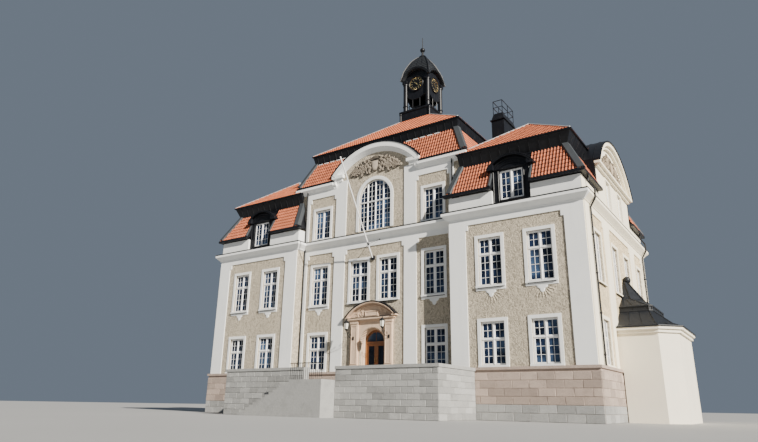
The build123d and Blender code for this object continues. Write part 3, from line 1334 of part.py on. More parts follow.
# Stone portal: two piers, the arch between them with its stepped lining, a shelf and a curved hood
PORTAL_RISE = PORTAL_HOOD_CROWN - PORTAL_HOOD_FOOT
PORTAL_RADIUS = (HOOD_HALF_CHORD**2 + PORTAL_RISE**2) / (2 * PORTAL_RISE)
PORTAL_CENTRE = PORTAL_HOOD_CROWN - PORTAL_RADIUS
PORTAL_INNER_RADIUS = PORTAL_RADIUS - PORTAL_HOOD_THICKNESS
with BuildPart() as portal:
    field_span = (PORTAL_ARCH_FRONT, CENTRE_FRONT)
    wing_strip((PORTAL_ARCH_HALF, PORTAL_PIER_OUTER), field_span, (LEDGE_TOP, PORTAL_SHELF))
    block((-PORTAL_ARCH_HALF, PORTAL_ARCH_HALF), field_span, (DOOR_SPRING, PORTAL_SHELF))
    with Locations(Location((0, CENTRE_FRONT, DOOR_SPRING), (90, 0, 0))):
        Cylinder(PORTAL_ARCH_HALF, WALL, mode=Mode.SUBTRACT)
    pier_courses = (
        (PIER_STEP, (LEDGE_TOP, LEDGE_TOP + PIER_BASE_HEIGHT)),
        (0, (LEDGE_TOP + PIER_BASE_HEIGHT, PORTAL_SHELF - PIER_CAPITAL_HEIGHT)),
        (2 * PIER_STEP, (PORTAL_SHELF - PIER_CAPITAL_HEIGHT, PORTAL_SHELF)),
    )
    for step, levels in pier_courses:
        pier_x = (PORTAL_PIER_INNER - step, PORTAL_PIER_OUTER + step)
        wing_strip(pier_x, (PORTAL_FRONT - step, CENTRE_FRONT), levels)
    for index, front in enumerate(LINING_FRONTS):
        inner = DOOR_HALF - (index + 1) * LINING_STEP
        wing_strip((inner, DOOR_HALF), (front, FRAME_FRONT), (GROUND_LEVEL, DOOR_SPRING))
        round_head(Plane.XZ.offset(-FRAME_FRONT), DOOR_HALF, inner, FRAME_FRONT - front)
    bed_top = PORTAL_SHELF + PORTAL_SHELF_BED
    bed_half = (PORTAL_PIER_OUTER + PORTAL_SHELF_HALF) / 2
    bed_front = (PORTAL_FRONT + PORTAL_SHELF_FRONT) / 2
    block((-bed_half, bed_half), (bed_front, CENTRE_FRONT), (PORTAL_SHELF, bed_top))
    block(
        (-PORTAL_SHELF_HALF, PORTAL_SHELF_HALF),
        (PORTAL_SHELF_FRONT, CENTRE_FRONT),
        (bed_top, PORTAL_SHELF_TOP),
    )
    wing_strip(
        (PORTAL_SHELF_HALF - PORTAL_HOOD_THICKNESS, HOOD_HALF_CHORD),
        (PORTAL_HOOD_FRONT, CENTRE_FRONT),
        (PORTAL_SHELF_TOP, PORTAL_HOOD_FOOT),
    )
    hood_face = arc_band(
        (PORTAL_CENTRE, PORTAL_RADIUS, HOOD_HALF_CHORD, PORTAL_HOOD_FOOT),
        (PORTAL_CENTRE, PORTAL_INNER_RADIUS, HOOD_HALF_CHORD, PORTAL_HOOD_FOOT - THROUGH),
        CENTRE_PLANE,
    )
    extrude(hood_face, amount=CENTRE_FRONT - PORTAL_HOOD_FRONT)
    under_hood = PORTAL_SHELF_HALF - PORTAL_HOOD_THICKNESS
    tympanum = arc_segment(
        CENTRE_PLANE, PORTAL_CENTRE, PORTAL_INNER_RADIUS, under_hood, PORTAL_SHELF_TOP
    )
    extrude(tympanum, amount=STRIP_STEP)
    block(
        (-TABLET_HALF, TABLET_HALF),
        (CENTRE_FRONT - 2 * STRIP_STEP, CENTRE_FRONT),
        (PORTAL_SHELF_TOP + STRIP_STEP, PORTAL_SHELF_TOP + STRIP_STEP + TABLET_HEIGHT),
    )
finish(portal, "portal")

# Oak door frame with its transom and round head, and the pins that carry the leaves
HINGE_X = LEAF_EDGE + DOOR_GAP / 2
HINGE_Y = LEAF_BACK + HINGE_STAND
HINGE_LEVELS = (LEAF_FOOT + HINGE_END, (LEAF_FOOT + LEAF_TOP) / 2, LEAF_TOP - HINGE_END)


def knuckles(foot_offset, strap, bore):
    """The knuckles of one half of the hinges on the right side, each with its strap."""
    for level in HINGE_LEVELS:
        foot = level + foot_offset
        block(strap, (LEAF_BACK, HINGE_Y - HINGE_STAND / 4), (foot, foot + HINGE_LENGTH))
        with Locations((HINGE_X, HINGE_Y, foot + HINGE_LENGTH / 2)):
            Cylinder(KNUCKLE_RADIUS, HINGE_LENGTH)
            if bore:
                Cylinder(PIN_RADIUS + HINGE_CLEARANCE, 2 * HINGE_LENGTH, mode=Mode.SUBTRACT)


with BuildPart() as right_pins:
    knuckles(-HINGE_LENGTH, (HINGE_X, HINGE_X + HINGE_STRAP), bore=False)
    with Locations(*[(HINGE_X, HINGE_Y, level + HINGE_LENGTH / 2) for level in HINGE_LEVELS]):
        Cylinder(PIN_RADIUS, HINGE_LENGTH)

with BuildPart() as door_frame:
    wing_strip((JAMB_INNER, DOOR_HALF), (FRAME_FRONT, LEAF_BACK), (GROUND_LEVEL, DOOR_SPRING))
    round_head(Plane.XZ.offset(-LEAF_BACK), DOOR_HALF, JAMB_INNER, DOOR_FRAME_DEPTH)
    block((-JAMB_INNER, JAMB_INNER), (FRAME_FRONT, LEAF_BACK), (TRANSOM_TOP - TRANSOM, TRANSOM_TOP))
    add(right_pins.part)
    mirror(right_pins.part, about=Plane.YZ)
finish(door_frame, "door_frame")

# Door leaves, framed round a tall light, each with a pull handle
with BuildPart() as door_leaf_right:
    block((DOOR_GAP / 2, LEAF_EDGE), (LEAF_PLANE, LEAF_BACK), (LEAF_FOOT, LEAF_TOP))
    block(
        (DOOR_GAP / 2 + LEAF_STILE, LEAF_EDGE - LEAF_STILE),
        (LEAF_PLANE - THROUGH, LEAF_PLANE + LEAF_THICKNESS / 3),
        (LEAF_FOOT + LEAF_RAIL, LEAF_TOP - LEAF_STILE),
        mode=Mode.SUBTRACT,
    )
    knuckles(HINGE_CLEARANCE, (HINGE_X - HINGE_STRAP, HINGE_X), bore=True)
    handle_x = DOOR_GAP / 2 + LEAF_STILE / 2
    handle_z = LEAF_FOOT + HANDLE_HEIGHT
    handle_front = LEAF_PLANE - HANDLE_STAND
    handle_span = (handle_x - HANDLE_BAR / 2, handle_x + HANDLE_BAR / 2)
    handle_top = handle_z + HANDLE_LENGTH
    for low in (handle_z, handle_top - HANDLE_BAR):
        block(handle_span, (handle_front, LEAF_PLANE), (low, low + HANDLE_BAR))
    block(handle_span, (handle_front - HANDLE_BAR, handle_front), (handle_z, handle_top))
finish(door_leaf_right, "door_leaf_right")

with BuildPart() as door_leaf_left:
    mirror(door_leaf_right.part, about=Plane.YZ)
finish(door_leaf_left, "door_leaf_left")

# Six-sided lanterns with pointed caps, each on a curved arm from a plate on its pier
def six_sided(courses):
    """A six-sided solid through level courses, each given as height over the middle and radius."""
    faces = []
    for height, radius in courses:
        with BuildSketch(Plane((LANTERN_X, LANTERN_Y, LANTERN_Z + height))) as level:
            RegularPolygon(radius, 6)
        faces.append(level.sketch.face())
    loft(faces, ruled=True)


with BuildPart() as portal_lanterns:
    six_sided(LANTERN_CAGE)
    six_sided(LANTERN_CAP)
    with Locations((LANTERN_X, LANTERN_Y, LANTERN_Z + LANTERN_CAP[-1][0])):
        Sphere(LANTERN_BAR)
    arm_end = LANTERN_Z + LANTERN_CAGE[0][0]
    with BuildLine() as arm:
        ThreePointArc(
            (LANTERN_X, PORTAL_FRONT, LANTERN_PLATE_Z),
            (LANTERN_X, PORTAL_FRONT / 3, LANTERN_PLATE_Z + LANTERN_PLATE / 2),
            (LANTERN_X, LANTERN_Y, arm_end),
        )
    with BuildSketch(Plane(origin=arm.line @ 0, z_dir=arm.line % 0)) as bar:
        Rectangle(LANTERN_BAR, LANTERN_BAR)
    sweep(bar.sketch, path=arm.line)
    block(
        (LANTERN_X - 2 * LANTERN_PLATE, LANTERN_X + 2 * LANTERN_PLATE),
        (PORTAL_FRONT, PORTAL_FRONT + LANTERN_PLATE),
        (LANTERN_PLATE_Z - 2 * LANTERN_PLATE, LANTERN_PLATE_Z + 2 * LANTERN_PLATE),
        mode=Mode.SUBTRACT,
    )
    block(
        (LANTERN_X - LANTERN_PLATE / 2, LANTERN_X + LANTERN_PLATE / 2),
        (PORTAL_FRONT - LANTERN_BAR, PORTAL_FRONT),
        (LANTERN_PLATE_Z - LANTERN_PLATE, LANTERN_PLATE_Z + LANTERN_PLATE),
    )
    mirror(about=Plane.YZ)
finish(portal_lanterns, "portal_lanterns")


# Flagpole on a wall bracket, with a collar and two struts to plates on the wall
def rod(start, end, radius):
    """A round bar between two points."""
    run = Vector(*end) - Vector(*start)
    with Locations(Plane(origin=Vector(*start) + run / 2, z_dir=run).location):
        Cylinder(radius, run.length)


lean = radians(FLAG_ANGLE)


def on_pole(height):
    """The point of the pole's axis at a height over the ground."""
    return 0, CENTRE_FRONT - FLAG_PLATE[1] - (height - FLAG_FOOT_Z) * cos(lean) / sin(lean), height


STRUT_FEET = (
    (FLAG_STRUT_X_HIGH, CENTRE_FRONT - STRIP_STEP, FLAG_STRUT_HIGH),
    (-FLAG_STRUT_X_LOW, CENTRE_FRONT, FLAG_STRUT_LOW),
)
with BuildPart() as flagpole:
    with Locations((0, CENTRE_FRONT - FLAG_PLATE[1] / 2, FLAG_FOOT_Z)):
        Box(*FLAG_PLATE)
    rod(on_pole(FLAG_FOOT_Z), on_pole(FLAG_FOOT_Z + FLAG_LENGTH * sin(lean)), FLAG_RADIUS)
    collar = (FLAG_STRUT_LEVEL - FLAG_COLLAR / 2, FLAG_STRUT_LEVEL + FLAG_COLLAR / 2)
    rod(on_pole(collar[0]), on_pole(collar[1]), FLAG_COLLAR_RADIUS)
    for x, y, z in STRUT_FEET:
        rod(on_pole(FLAG_STRUT_LEVEL), (x, y - FLAG_STRUT_RADIUS, z), FLAG_STRUT_RADIUS)
        block(
            (x - FLAG_STRUT_PLATE / 2, x + FLAG_STRUT_PLATE / 2),
            (y - 2 * FLAG_STRUT_RADIUS, y),
            (z - FLAG_STRUT_PLATE / 2, z + FLAG_STRUT_PLATE / 2),
        )
finish(flagpole, "flagpole")

# Terrace in front of the entrance: retaining walls with a coping, paving and an iron railing
with BuildPart() as terrace_walls:
    front_span = (TERRACE_FRONT, TERRACE_FRONT + TERRACE_WALL)
    coping = (PARAPET_TOP - COPING_HEIGHT, PARAPET_TOP)
    wing_strip((GATE_HALF, TERRACE_HALF), front_span, (0, coping[0]))
    block((-GATE_HALF, GATE_HALF), front_span, (0, TERRACE_LEVEL))
    wing_strip((TERRACE_HALF - TERRACE_WALL, TERRACE_HALF), (front_span[1], -LEDGE_STEP), (0, coping[0]))
    wing_strip(
        (GATE_HALF, TERRACE_HALF + COPING_STEP),
        (TERRACE_FRONT - COPING_STEP, TERRACE_FRONT + TERRACE_WALL + COPING_STEP),
        coping,
    )
    wing_strip(
        (TERRACE_HALF - TERRACE_WALL - COPING_STEP, TERRACE_HALF + COPING_STEP),
        (TERRACE_FRONT + TERRACE_WALL, -LEDGE_STEP),
        coping,
    )
    block(
        (-GATE_HALF, GATE_HALF),
        (TERRACE_FRONT - LANDING_DEPTH, TERRACE_FRONT),
        (0, TERRACE_LEVEL),
    )
    steps = int(TERRACE_LEVEL / STEP_RISE)
    for index in range(1, steps):
        block(
            (-GATE_HALF - index * STEP_RUN, -GATE_HALF - (index - 1) * STEP_RUN),
            (TERRACE_FRONT - LANDING_DEPTH, TERRACE_FRONT),
            (0, TERRACE_LEVEL - index * STEP_RISE),
        )
finish(terrace_walls, "terrace_walls")

with BuildPart() as terrace_floor:
    inner_half = TERRACE_HALF - TERRACE_WALL
    paving = (TERRACE_LEVEL - SLAB, TERRACE_LEVEL)
    block((-inner_half, inner_half), (TERRACE_FRONT + TERRACE_WALL, -PLINTH_STEP), paving)
    recess_half = CENTRE_HALF - PLINTH_STEP
    block((-recess_half, recess_half), (-PLINTH_STEP, CENTRE_FRONT - PLINTH_STEP), paving)
    for index in (1, 2):
        tread = (3 - index) * STEP_RUN
        block(
            (-PORTAL_PIER_OUTER, PORTAL_PIER_OUTER),
            (CENTRE_FRONT - LEDGE_STEP - tread, CENTRE_FRONT - LEDGE_STEP),
            (TERRACE_LEVEL, TERRACE_LEVEL + index * STEP_RISE),
        )
finish(terrace_floor, "terrace_floor")

with BuildPart() as terrace_railing:
    rail_y = TERRACE_FRONT - LANDING_DEPTH + RAILING_TOP / 2
    with Locations((0, rail_y, TERRACE_LEVEL + RAILING_HEIGHT / 2)):
        with GridLocations((2 * GATE_HALF - 2 * RAILING_BAR) / (RAILING_BARS - 1), 1, RAILING_BARS, 1):
            Cylinder(RAILING_BAR / 2, RAILING_HEIGHT)
    with Locations((0, rail_y, TERRACE_LEVEL + RAILING_HEIGHT)):
        Box(2 * GATE_HALF, RAILING_TOP, RAILING_TOP * 2 / 3)
finish(terrace_railing, "terrace_railing")


# Annex with cut corners and a roof in two tiers
def annex_plan(half, reach, cut):
    """A plan against the end wall, half its width to each side of the middle, with cut corners."""
    outer = HALF_WIDTH + reach
    with BuildSketch() as outline:
        with BuildLine():
            Polyline(
                (HALF_WIDTH, MIDDLE_Y - half),
                (outer - cut, MIDDLE_Y - half),
                (outer, MIDDLE_Y - half + cut),
                (outer, MIDDLE_Y + half - cut),
                (outer - cut, MIDDLE_Y + half),
                (HALF_WIDTH, MIDDLE_Y + half),
                close=True,
            )
        make_face()
    return outline.sketch


def annex_outline(step):
    """The annex's plan, moved out by step on its free sides."""
    return annex_plan(ANNEX_HALF + step, ANNEX_REACH + step, ANNEX_CHAMFER + step * (2 - sqrt(2)))


annex_band_top = annex_outline(-ANNEX_BAND_INSET)
with BuildPart() as annex_walls:
    ring(annex_outline(0), annex_outline(-ANNEX_WALL), (0, ANNEX_WALL_TOP))
    block(
        (HALF_WIDTH - THROUGH, HALF_WIDTH + LEDGE_STEP),
        (MIDDLE_Y - 2 * ANNEX_HALF, MIDDLE_Y + 2 * ANNEX_HALF),
        (-THROUGH, LEDGE_TOP),
        mode=Mode.SUBTRACT,
    )
    corona_foot = ANNEX_WALL_TOP + ANNEX_CORNICE / 2
    slab(annex_outline(ANNEX_CORNICE_STEP / 2), (ANNEX_WALL_TOP, corona_foot))
    slab(annex_outline(ANNEX_CORNICE_STEP), (corona_foot, ANNEX_WALL_TOP + ANNEX_CORNICE))
finish(annex_walls, "annex_walls")

with BuildPart() as annex_roof:
    eaves = ANNEX_WALL_TOP + ANNEX_CORNICE
    waist = annex_plan(ANNEX_WAIST_HALF, ANNEX_WAIST_HALF, ANNEX_WAIST_HALF / 2)
    tip = annex_plan(ANNEX_BALL, ANNEX_BALL, ANNEX_BALL / 2)
    tiers = (
        (
            (annex_outline(ANNEX_CORNICE_STEP), eaves),
            (annex_outline(ANNEX_CORNICE_STEP - ANNEX_FLARE), eaves + ANNEX_FLARE_HEIGHT),
            (annex_band_top, ANNEX_BAND_FOOT),
        ),
        ((annex_band_top, ANNEX_BAND_FOOT), (annex_band_top, ANNEX_BAND_TOP)),
        ((annex_band_top, ANNEX_BAND_TOP), (waist, ANNEX_WAIST), (tip, ANNEX_ROOF_TOP)),
    )
    for tier in tiers:
        loft([outline.moved(Location((0, 0, level))).face() for outline, level in tier], ruled=True)
    with Locations((HALF_WIDTH + ANNEX_BALL, MIDDLE_Y, ANNEX_ROOF_TOP + ANNEX_BALL / 2)):
        Sphere(ANNEX_BALL)
    block(
        (HALF_WIDTH - 2 * ANNEX_BALL, HALF_WIDTH),
        (MIDDLE_Y - ANNEX_HALF, MIDDLE_Y + ANNEX_HALF),
        (ANNEX_WALL_TOP, ANNEX_ROOF_TOP + 2 * ANNEX_BALL),
        mode=Mode.SUBTRACT,
    )
    add(plaster_strips.part, mode=Mode.SUBTRACT)
    add(window_surrounds.part, mode=Mode.SUBTRACT)
finish(annex_roof, "annex_roof")
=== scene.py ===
"""Finishes and fine pieces of a town hall, laid out as a Blender add-on.

Each operator makes one group of pieces: roof tiles, sheet metal, window bars, stones, reliefs,
clock marks, entrance fittings and plaster trim. Sizes are in metres.
"""

import json

import bmesh
import bpy
import numpy as np
from bpy.props import FloatProperty, FloatVectorProperty, IntProperty, PointerProperty
from mathutils import Matrix, Vector


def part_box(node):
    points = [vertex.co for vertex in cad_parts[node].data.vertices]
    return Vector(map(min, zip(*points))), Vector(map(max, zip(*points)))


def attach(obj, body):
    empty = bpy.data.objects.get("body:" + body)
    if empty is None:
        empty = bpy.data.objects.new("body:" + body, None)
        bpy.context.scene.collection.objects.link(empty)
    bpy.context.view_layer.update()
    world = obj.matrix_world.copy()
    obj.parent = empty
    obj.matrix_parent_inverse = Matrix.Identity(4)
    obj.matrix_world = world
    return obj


bl_info = {
    "name": "Town hall finishes",
    "version": (1, 0, 0),
    "blender": (4, 5, 0),
    "location": "View3D > Sidebar > Town hall",
    "description": "Roof tiles, window bars, stones, reliefs and finishes of a town hall",
    "category": "Add Mesh",
}

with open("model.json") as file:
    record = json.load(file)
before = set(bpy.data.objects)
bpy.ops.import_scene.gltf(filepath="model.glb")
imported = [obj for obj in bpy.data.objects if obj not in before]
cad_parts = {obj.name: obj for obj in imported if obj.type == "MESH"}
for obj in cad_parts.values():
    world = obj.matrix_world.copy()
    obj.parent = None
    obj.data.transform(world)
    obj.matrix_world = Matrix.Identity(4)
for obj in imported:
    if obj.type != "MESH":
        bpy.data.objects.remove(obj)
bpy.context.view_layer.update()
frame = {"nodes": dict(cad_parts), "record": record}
BODY = "building"

# Plan and levels, read from the frame
WING_LOW, WING_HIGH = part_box("front_wall_right")
CENTRE_HALF = WING_LOW.x
HALF_WIDTH = WING_HIGH.x
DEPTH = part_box("back_wall")[1].y
MIDDLE_Y = DEPTH / 2
RAISED_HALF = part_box("third_storey_sides")[1].x
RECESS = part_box("centre_wall_right")[0].y
WING_MIDDLE = (CENTRE_HALF + HALF_WIDTH) / 2
GROUND_FLOOR = 2.6
FIRST_FLOOR = 7.4
SECOND_FLOOR = 12.2

# Roof planes: x span, y span and level of each break, as the roofs are built
WING_FOOT = (CENTRE_HALF, HALF_WIDTH + 0.2, -0.2, DEPTH + 0.2, 14.27)
WING_TILE_TOP = (CENTRE_HALF + 0.48, HALF_WIDTH - 0.9, 0.9, DEPTH - 0.9, 16.48)
WING_BAND_TOP = (CENTRE_HALF + 0.43, HALF_WIDTH - 0.5, 0.5, DEPTH - 0.5, 17.37)
WING_RIDGE_RISE = 2.96
CENTRE_FOOT = (-RAISED_HALF - 0.2, RAISED_HALF + 0.2, RECESS - 0.2, DEPTH - RECESS + 0.2, 17.87)
CENTRE_TILE_TOP = (0.77 - RAISED_HALF, RAISED_HALF - 0.77, RECESS + 0.75, DEPTH - RECESS - 0.75, 20.1)
CENTRE_BAND_TOP = (0.6 - RAISED_HALF, RAISED_HALF - 0.6, RECESS + 0.52, DEPTH - RECESS - 0.52, 20.85)
CENTRE_ROOF_TOP = (-1.5, 1.5, MIDDLE_Y - 1.5, MIDDLE_Y + 1.5, 24.95)

# Curved gables and dormers
GABLE_CENTRE, GABLE_RADIUS, GABLE_HALF, GABLE_BACK = 14.98, 5.26, 4.05, 2.0
END_CENTRE, END_RADIUS, END_HALF, END_DEPTH = 13.4, 5.55, 4.7, 2.7
DORMER_HALF, DORMER_BACK, DORMER_FRONT = 1.28, 1.5, 0.2
HOOD_CENTRE, HOOD_RADIUS = 14.44, 1.96

# Cornices: reach beyond the walls, and the level of each one's top
CORNICE_REACH, CORNICE_TOP, UPPER_CORNICE_TOP = 0.405, 12.99, 17.70

# Foot of the walls: reach of the plinth, top of the grey footing, height of the ledge, and the
# half of the right wall that the annex covers
PLINTH_STEP, FOOTING_TOP, LEDGE_HEIGHT, ANNEX_HALF = 0.12, 0.9, 0.32, 3.55

# Terrace: half its width, its front face, half the gate, height of the coping, gap to the building
TERRACE_HALF, TERRACE_FRONT, GATE_HALF, COPING_HEIGHT, TERRACE_GAP = 8.3, -4.65, 1.25, 0.18, 0.2

# Entrance
PORTAL_CENTRE, PORTAL_RADIUS, DOOR_SPRING = 5.009, 2.801, 4.95
PORTAL_FRONT, TABLET_PLANE, TYMPANUM_PLANE, LEAF_PLANE = 0.73, 0.78, 0.84, 1.47
LANTERN_X, LANTERN_Y, LANTERN_Z = 1.525, -0.11, 6.05

# Flagpole: its lean, a point (y, z) on its line, its reach, the front of the wall plates, its collar
FLAG_LEAN, FLAG_LINE, FLAG_REACH = np.radians(57), (0.75, 11.04), 0.047
PLATE_FRONT, COLLAR_LEVELS = 0.74, (11.83, 12.03)

# Rain-water pipes: x, y and top of each on the right, then the first collar and their spacing
PIPES = ((6.63, 0.75, 17.2), (6.63, DEPTH - 0.75, 17.2), (15.65, 0.95, 12.0), (15.65, 15.65, 12.0))
FIRST_COLLAR, COLLAR_SPACING = 3.6, 2.3

# Windows: width, then sill and head of each row
WINDOW_WIDTH, SIDE_WINDOW_WIDTH, GABLE_WINDOW_WIDTH = 1.56, 1.4, 1.1
GROUND_ROW = (GROUND_FLOOR + 0.51, GROUND_FLOOR + 3.10)
FIRST_ROW = (FIRST_FLOOR + 0.51, FIRST_FLOOR + 3.58)
THIRD_ROW = (SECOND_FLOOR + 1.01, SECOND_FLOOR + 3.43)
DORMER_ROW = (13.38, 15.35)
GABLE_ROW = (13.6, 15.67)
WING_X = (WING_MIDDLE - 1.61, WING_MIDDLE + 1.61)
OUTER_X, INNER_X = 5.025, 1.282
SIDE_Y = tuple(MIDDLE_Y + offset for offset in (-5.84, -1.66, 1.66, 5.84))
GABLE_Y = (MIDDLE_Y - 1.65, MIDDLE_Y + 1.65)
ARCH_RADIUS, ARCH_SPRING, ARCH_SILL = 1.43, 15.8, 13.25
FRAME_SETBACK, FRAME_WIDTH = 0.13, 0.06
BAR_PLANE = FRAME_SETBACK + 0.045

# Clock turret
DIAL_LEVEL, DIAL_FACE = 28.67, 1.24
DOME_PROFILE = np.array((
    (1.5, 29.22), (1.31, 30.19), (1.14, 30.64), (0.99, 30.99), (0.79, 31.4), (0.53, 31.76), (0.29, 32.02),
))
DOME_ARCH_CENTRE, DOME_ARCH_RADIUS = 28.595, 1.625

# The photograph's camera
CAMERA_PLACE = Vector((23.839, -33.028, 0.70))
CAMERA_YAW, CAMERA_PITCH, CAMERA_ROLL = -0.604, 0.308, 0.017
CAMERA_LENS = 27.63

# Stage: the sun's place, strength, spread and colour, the sky's colour and strength, half the floor's side
SUN_FROM, SUN_STRENGTH, SUN_SPREAD = Vector((0.84, -0.32, 0.44)), 10.6, 0.012
SUN_COLOUR, SKY_COLOUR, SKY_STRENGTH = (1.0, 0.945, 0.85), (0.66, 0.80, 1.0, 1), 0.23
FLOOR_HALF = 400.0

# Directions: along the street front, away from the street, up, and out of the street front
RIGHT, BACK, UP = np.eye(3)
FRONT = -BACK

# Finishes by name, filled by their operator
FINISHES = {}


def metres(name, default, description):
    """A length property with its default."""
    return FloatProperty(name=name, description=description, default=default, unit="LENGTH")


def colour(name, value, description):
    """A colour property with its default."""
    return FloatVectorProperty(name=name, description=description, default=value, size=3, subtype="COLOR")


class RoofSizes(bpy.types.PropertyGroup):
    """Sizes of the tiles and of the sheet metal."""

    tile_width: metres("Tile width", 0.21, "Cover width of one tile")
    course: metres("Course", 0.34, "Length of tile that shows")
    roll: metres("Roll", 0.055, "Height of a tile's roll")
    lip: metres("Lip", 0.038, "Thickness of a tile at its lower edge")
    hip_width: metres("Hip strip", 0.27, "Width of a metal strip on each side of a hip")
    seam_spacing: metres("Seams", 0.62, "Distance between standing seams")


class WindowSizes(bpy.types.PropertyGroup):
    """Sections of the posts and bars in the windows."""

    post: metres("Post", 0.115, "Width of the middle post")
    transom: metres("Transom", 0.095, "Height of the transom")
    stile: metres("Casement", 0.055, "Width of the casement inside the frame")
    bar: metres("Bar", 0.034, "Width of a glazing bar")


class StoneSizes(bpy.types.PropertyGroup):
    """Sizes of the stones."""

    plinth_course: metres("Plinth course", 0.44, "Height of a plinth stone")
    plinth_stone: metres("Plinth stone", 0.95, "Length of a plinth stone")
    terrace_course: metres("Terrace course", 0.37, "Height of a terrace stone")
    terrace_stone: metres("Terrace stone", 0.82, "Length of a terrace stone")
    joint: metres("Joint", 0.014, "Width of a joint")
    seed: IntProperty(name="Seed", description="Seed of the stones' differences", default=11)


class FinishColours(bpy.types.PropertyGroup):
    """Colours of the finishes."""

    rough_cast: colour("Rough-cast", (0.50, 0.435, 0.335), "Rough-cast wall fields")
    plaster: colour("Plaster", (0.84, 0.85, 0.84), "Smooth plaster")
    tile: colour("Tile", (0.47, 0.13, 0.055), "Clay tiles")
    sheet: colour("Sheet", (0.006, 0.0065, 0.009), "Black sheet metal")
    strip: colour("Hip strip", (0.042, 0.047, 0.053), "Grey metal strips")
    pink_stone: colour("Ledge stone", (0.40, 0.315, 0.265), "Pink stone of the ledge and plinth")
    grey_stone: colour("Terrace stone", (0.33, 0.33, 0.32), "Grey stone of the terrace")
    sandstone: colour("Sandstone", (0.68, 0.50, 0.36), "Portal stone")
    oak: colour("Oak", (0.24, 0.09, 0.025), "Door timber")
    paint: colour("Paint", (0.86, 0.86, 0.86), "White paint")
    glass: colour("Glass", (0.014, 0.026, 0.062), "Window glass")
    gilt: colour("Gilt", (0.92, 0.72, 0.34), "Gilded marks and hands")
    # The two end-wall colours are lighter and warmer than the front's: painted sunlight, used on both ends.
    sunlit_end_cast: colour("Side rough-cast", (0.80, 0.655, 0.42), "Rough-cast on the end walls")
    sunlit_end_plaster: colour("Side plaster", (0.90, 0.83, 0.67), "Smooth plaster on the end walls")
    relief: colour("Relief", (0.52, 0.44, 0.35), "Carved foliage")


def unit(vectors):
    """Vectors scaled to length one."""
    vectors = np.asarray(vectors, float)
    return vectors / np.linalg.norm(vectors, axis=-1, keepdims=True)


def grid_quads(rows, columns, wrap=False):
    """Quads of a grid of rows by columns, each a step in the column and in the row direction."""
    row = np.arange(rows - 1)[:, None]
    column = np.arange(columns if wrap else columns - 1)[None, :]
    following = (column + 1) % columns
    low, high = row * columns, (row + 1) * columns
    return np.stack([low + column, low + following, high + following, high + column], axis=-1).reshape(-1, 4)


def ring_mesh(rings):
    """Closed bodies through rings of points, an array of body, ring, point and coordinate.

    Side quads join each ring to the next, and each end is a fan of quads over the ring's points."""
    rings = np.asarray(rings, float)
    bodies, count, points, _ = rings.shape
    sides = grid_quads(count, points, wrap=True)
    corner = np.arange(1, points - 2, 2)
    fan = np.stack([np.zeros_like(corner), corner, corner + 1, corner + 2], axis=-1)
    one = np.concatenate([sides, fan[:, ::-1], fan + (count - 1) * points])
    faces = (one[None] + (np.arange(bodies) * count * points)[:, None, None]).reshape(-1, 4)
    return rings.reshape(-1, 3), faces


def joined(*meshes):
    """Several meshes as one."""
    shift, vertices, faces = 0, [], []
    for points, quads in meshes:
        vertices.append(points)
        faces.append(quads + shift)
        shift += len(points)
    return np.concatenate(vertices), np.concatenate(faces)


def mirrored(mesh):
    """A mesh and its mirror image across the middle of the front."""
    points, quads = mesh
    return joined(mesh, (points * (-1, 1, 1), quads[:, ::-1]))


def bars(starts, ends, outward, section):
    """Straight bars with one section: its point (a, b) lies a to the side and b outward of the line.

    The side is the cross product of the bar's direction and the outward direction."""
    starts, ends = np.atleast_2d(np.asarray(starts, float)), np.atleast_2d(np.asarray(ends, float))
    outward = np.broadcast_to(np.asarray(outward, float), starts.shape)
    side = np.cross(unit(ends - starts), outward)
    section = np.asarray(section, float)
    offsets = section[None, :, :1] * side[:, None, :] + section[None, :, 1:] * outward[:, None, :]
    return ring_mesh(np.stack([starts[:, None] + offsets, ends[:, None] + offsets], axis=1))


def moulded(width, depth, bevel=0.3):
    """A section of six points: flat back, square shoulders and a narrower face."""
    half, face = width / 2, width * (0.5 - bevel)
    return [(-half, 0), (half, 0), (half, depth * 0.55), (face, depth), (-face, depth), (-half, depth * 0.55)]


def edging(plan, section, closed=True):
    """A moulding along a level line, mitred at its corners: a section point (a, b) lies a outward and b up.

    Outward is to the right of the direction of travel, so an anticlockwise loop faces outwards."""
    plan = np.asarray(plan, float)
    ahead = unit(np.roll(plan, -1, axis=0) - plan)
    outward = np.stack([ahead[:, 1], -ahead[:, 0], 0 * ahead[:, 0]], axis=-1)
    if not closed:
        outward[-1] = outward[-2]
    last = np.roll(outward, 1, axis=0)
    if not closed:
        last[0] = outward[0]
    mitre = (outward + last) / (1 + (outward * last).sum(axis=-1, keepdims=True))
    section = np.asarray(section, float)
    rings = plan[:, None] + section[None, :, :1] * mitre[:, None] + section[None, :, 1:] * UP
    runs = np.stack([rings, np.roll(rings, -1, axis=0)], axis=1)
    return ring_mesh(runs if closed else runs[:-1])


def swept(path, radial, axis, section):
    """One body along a curved path: a section point (a, b) lies a along its radial and b along its axis."""
    path, radial = np.asarray(path, float), np.asarray(radial, float)
    axis = np.broadcast_to(np.asarray(axis, float), radial.shape)
    section = np.asarray(section, float)
    rings = path[:, None] + section[None, :, :1] * radial[:, None] + section[None, :, 1:] * axis[:, None]
    return ring_mesh(rings[None])


def arc_bar(centre, radius, start, end, right, up, section, steps=40):
    """A section carried round an arc in the plane of right and up, from one angle to another."""
    angle = np.linspace(start, end, steps)[:, None]
    right, up = np.asarray(right, float), np.asarray(up, float)
    radial = np.cos(angle) * right + np.sin(angle) * up
    return swept(np.asarray(centre, float) + radius * radial, radial, np.cross(right, up), section)


def crest(centre, radius, reach, section, right=RIGHT, steps=40):
    """A section carried round the top of a circle, by an angle to either side of its highest point."""
    return arc_bar(centre, radius, np.pi / 2 - reach, np.pi / 2 + reach, right, UP, section, steps)


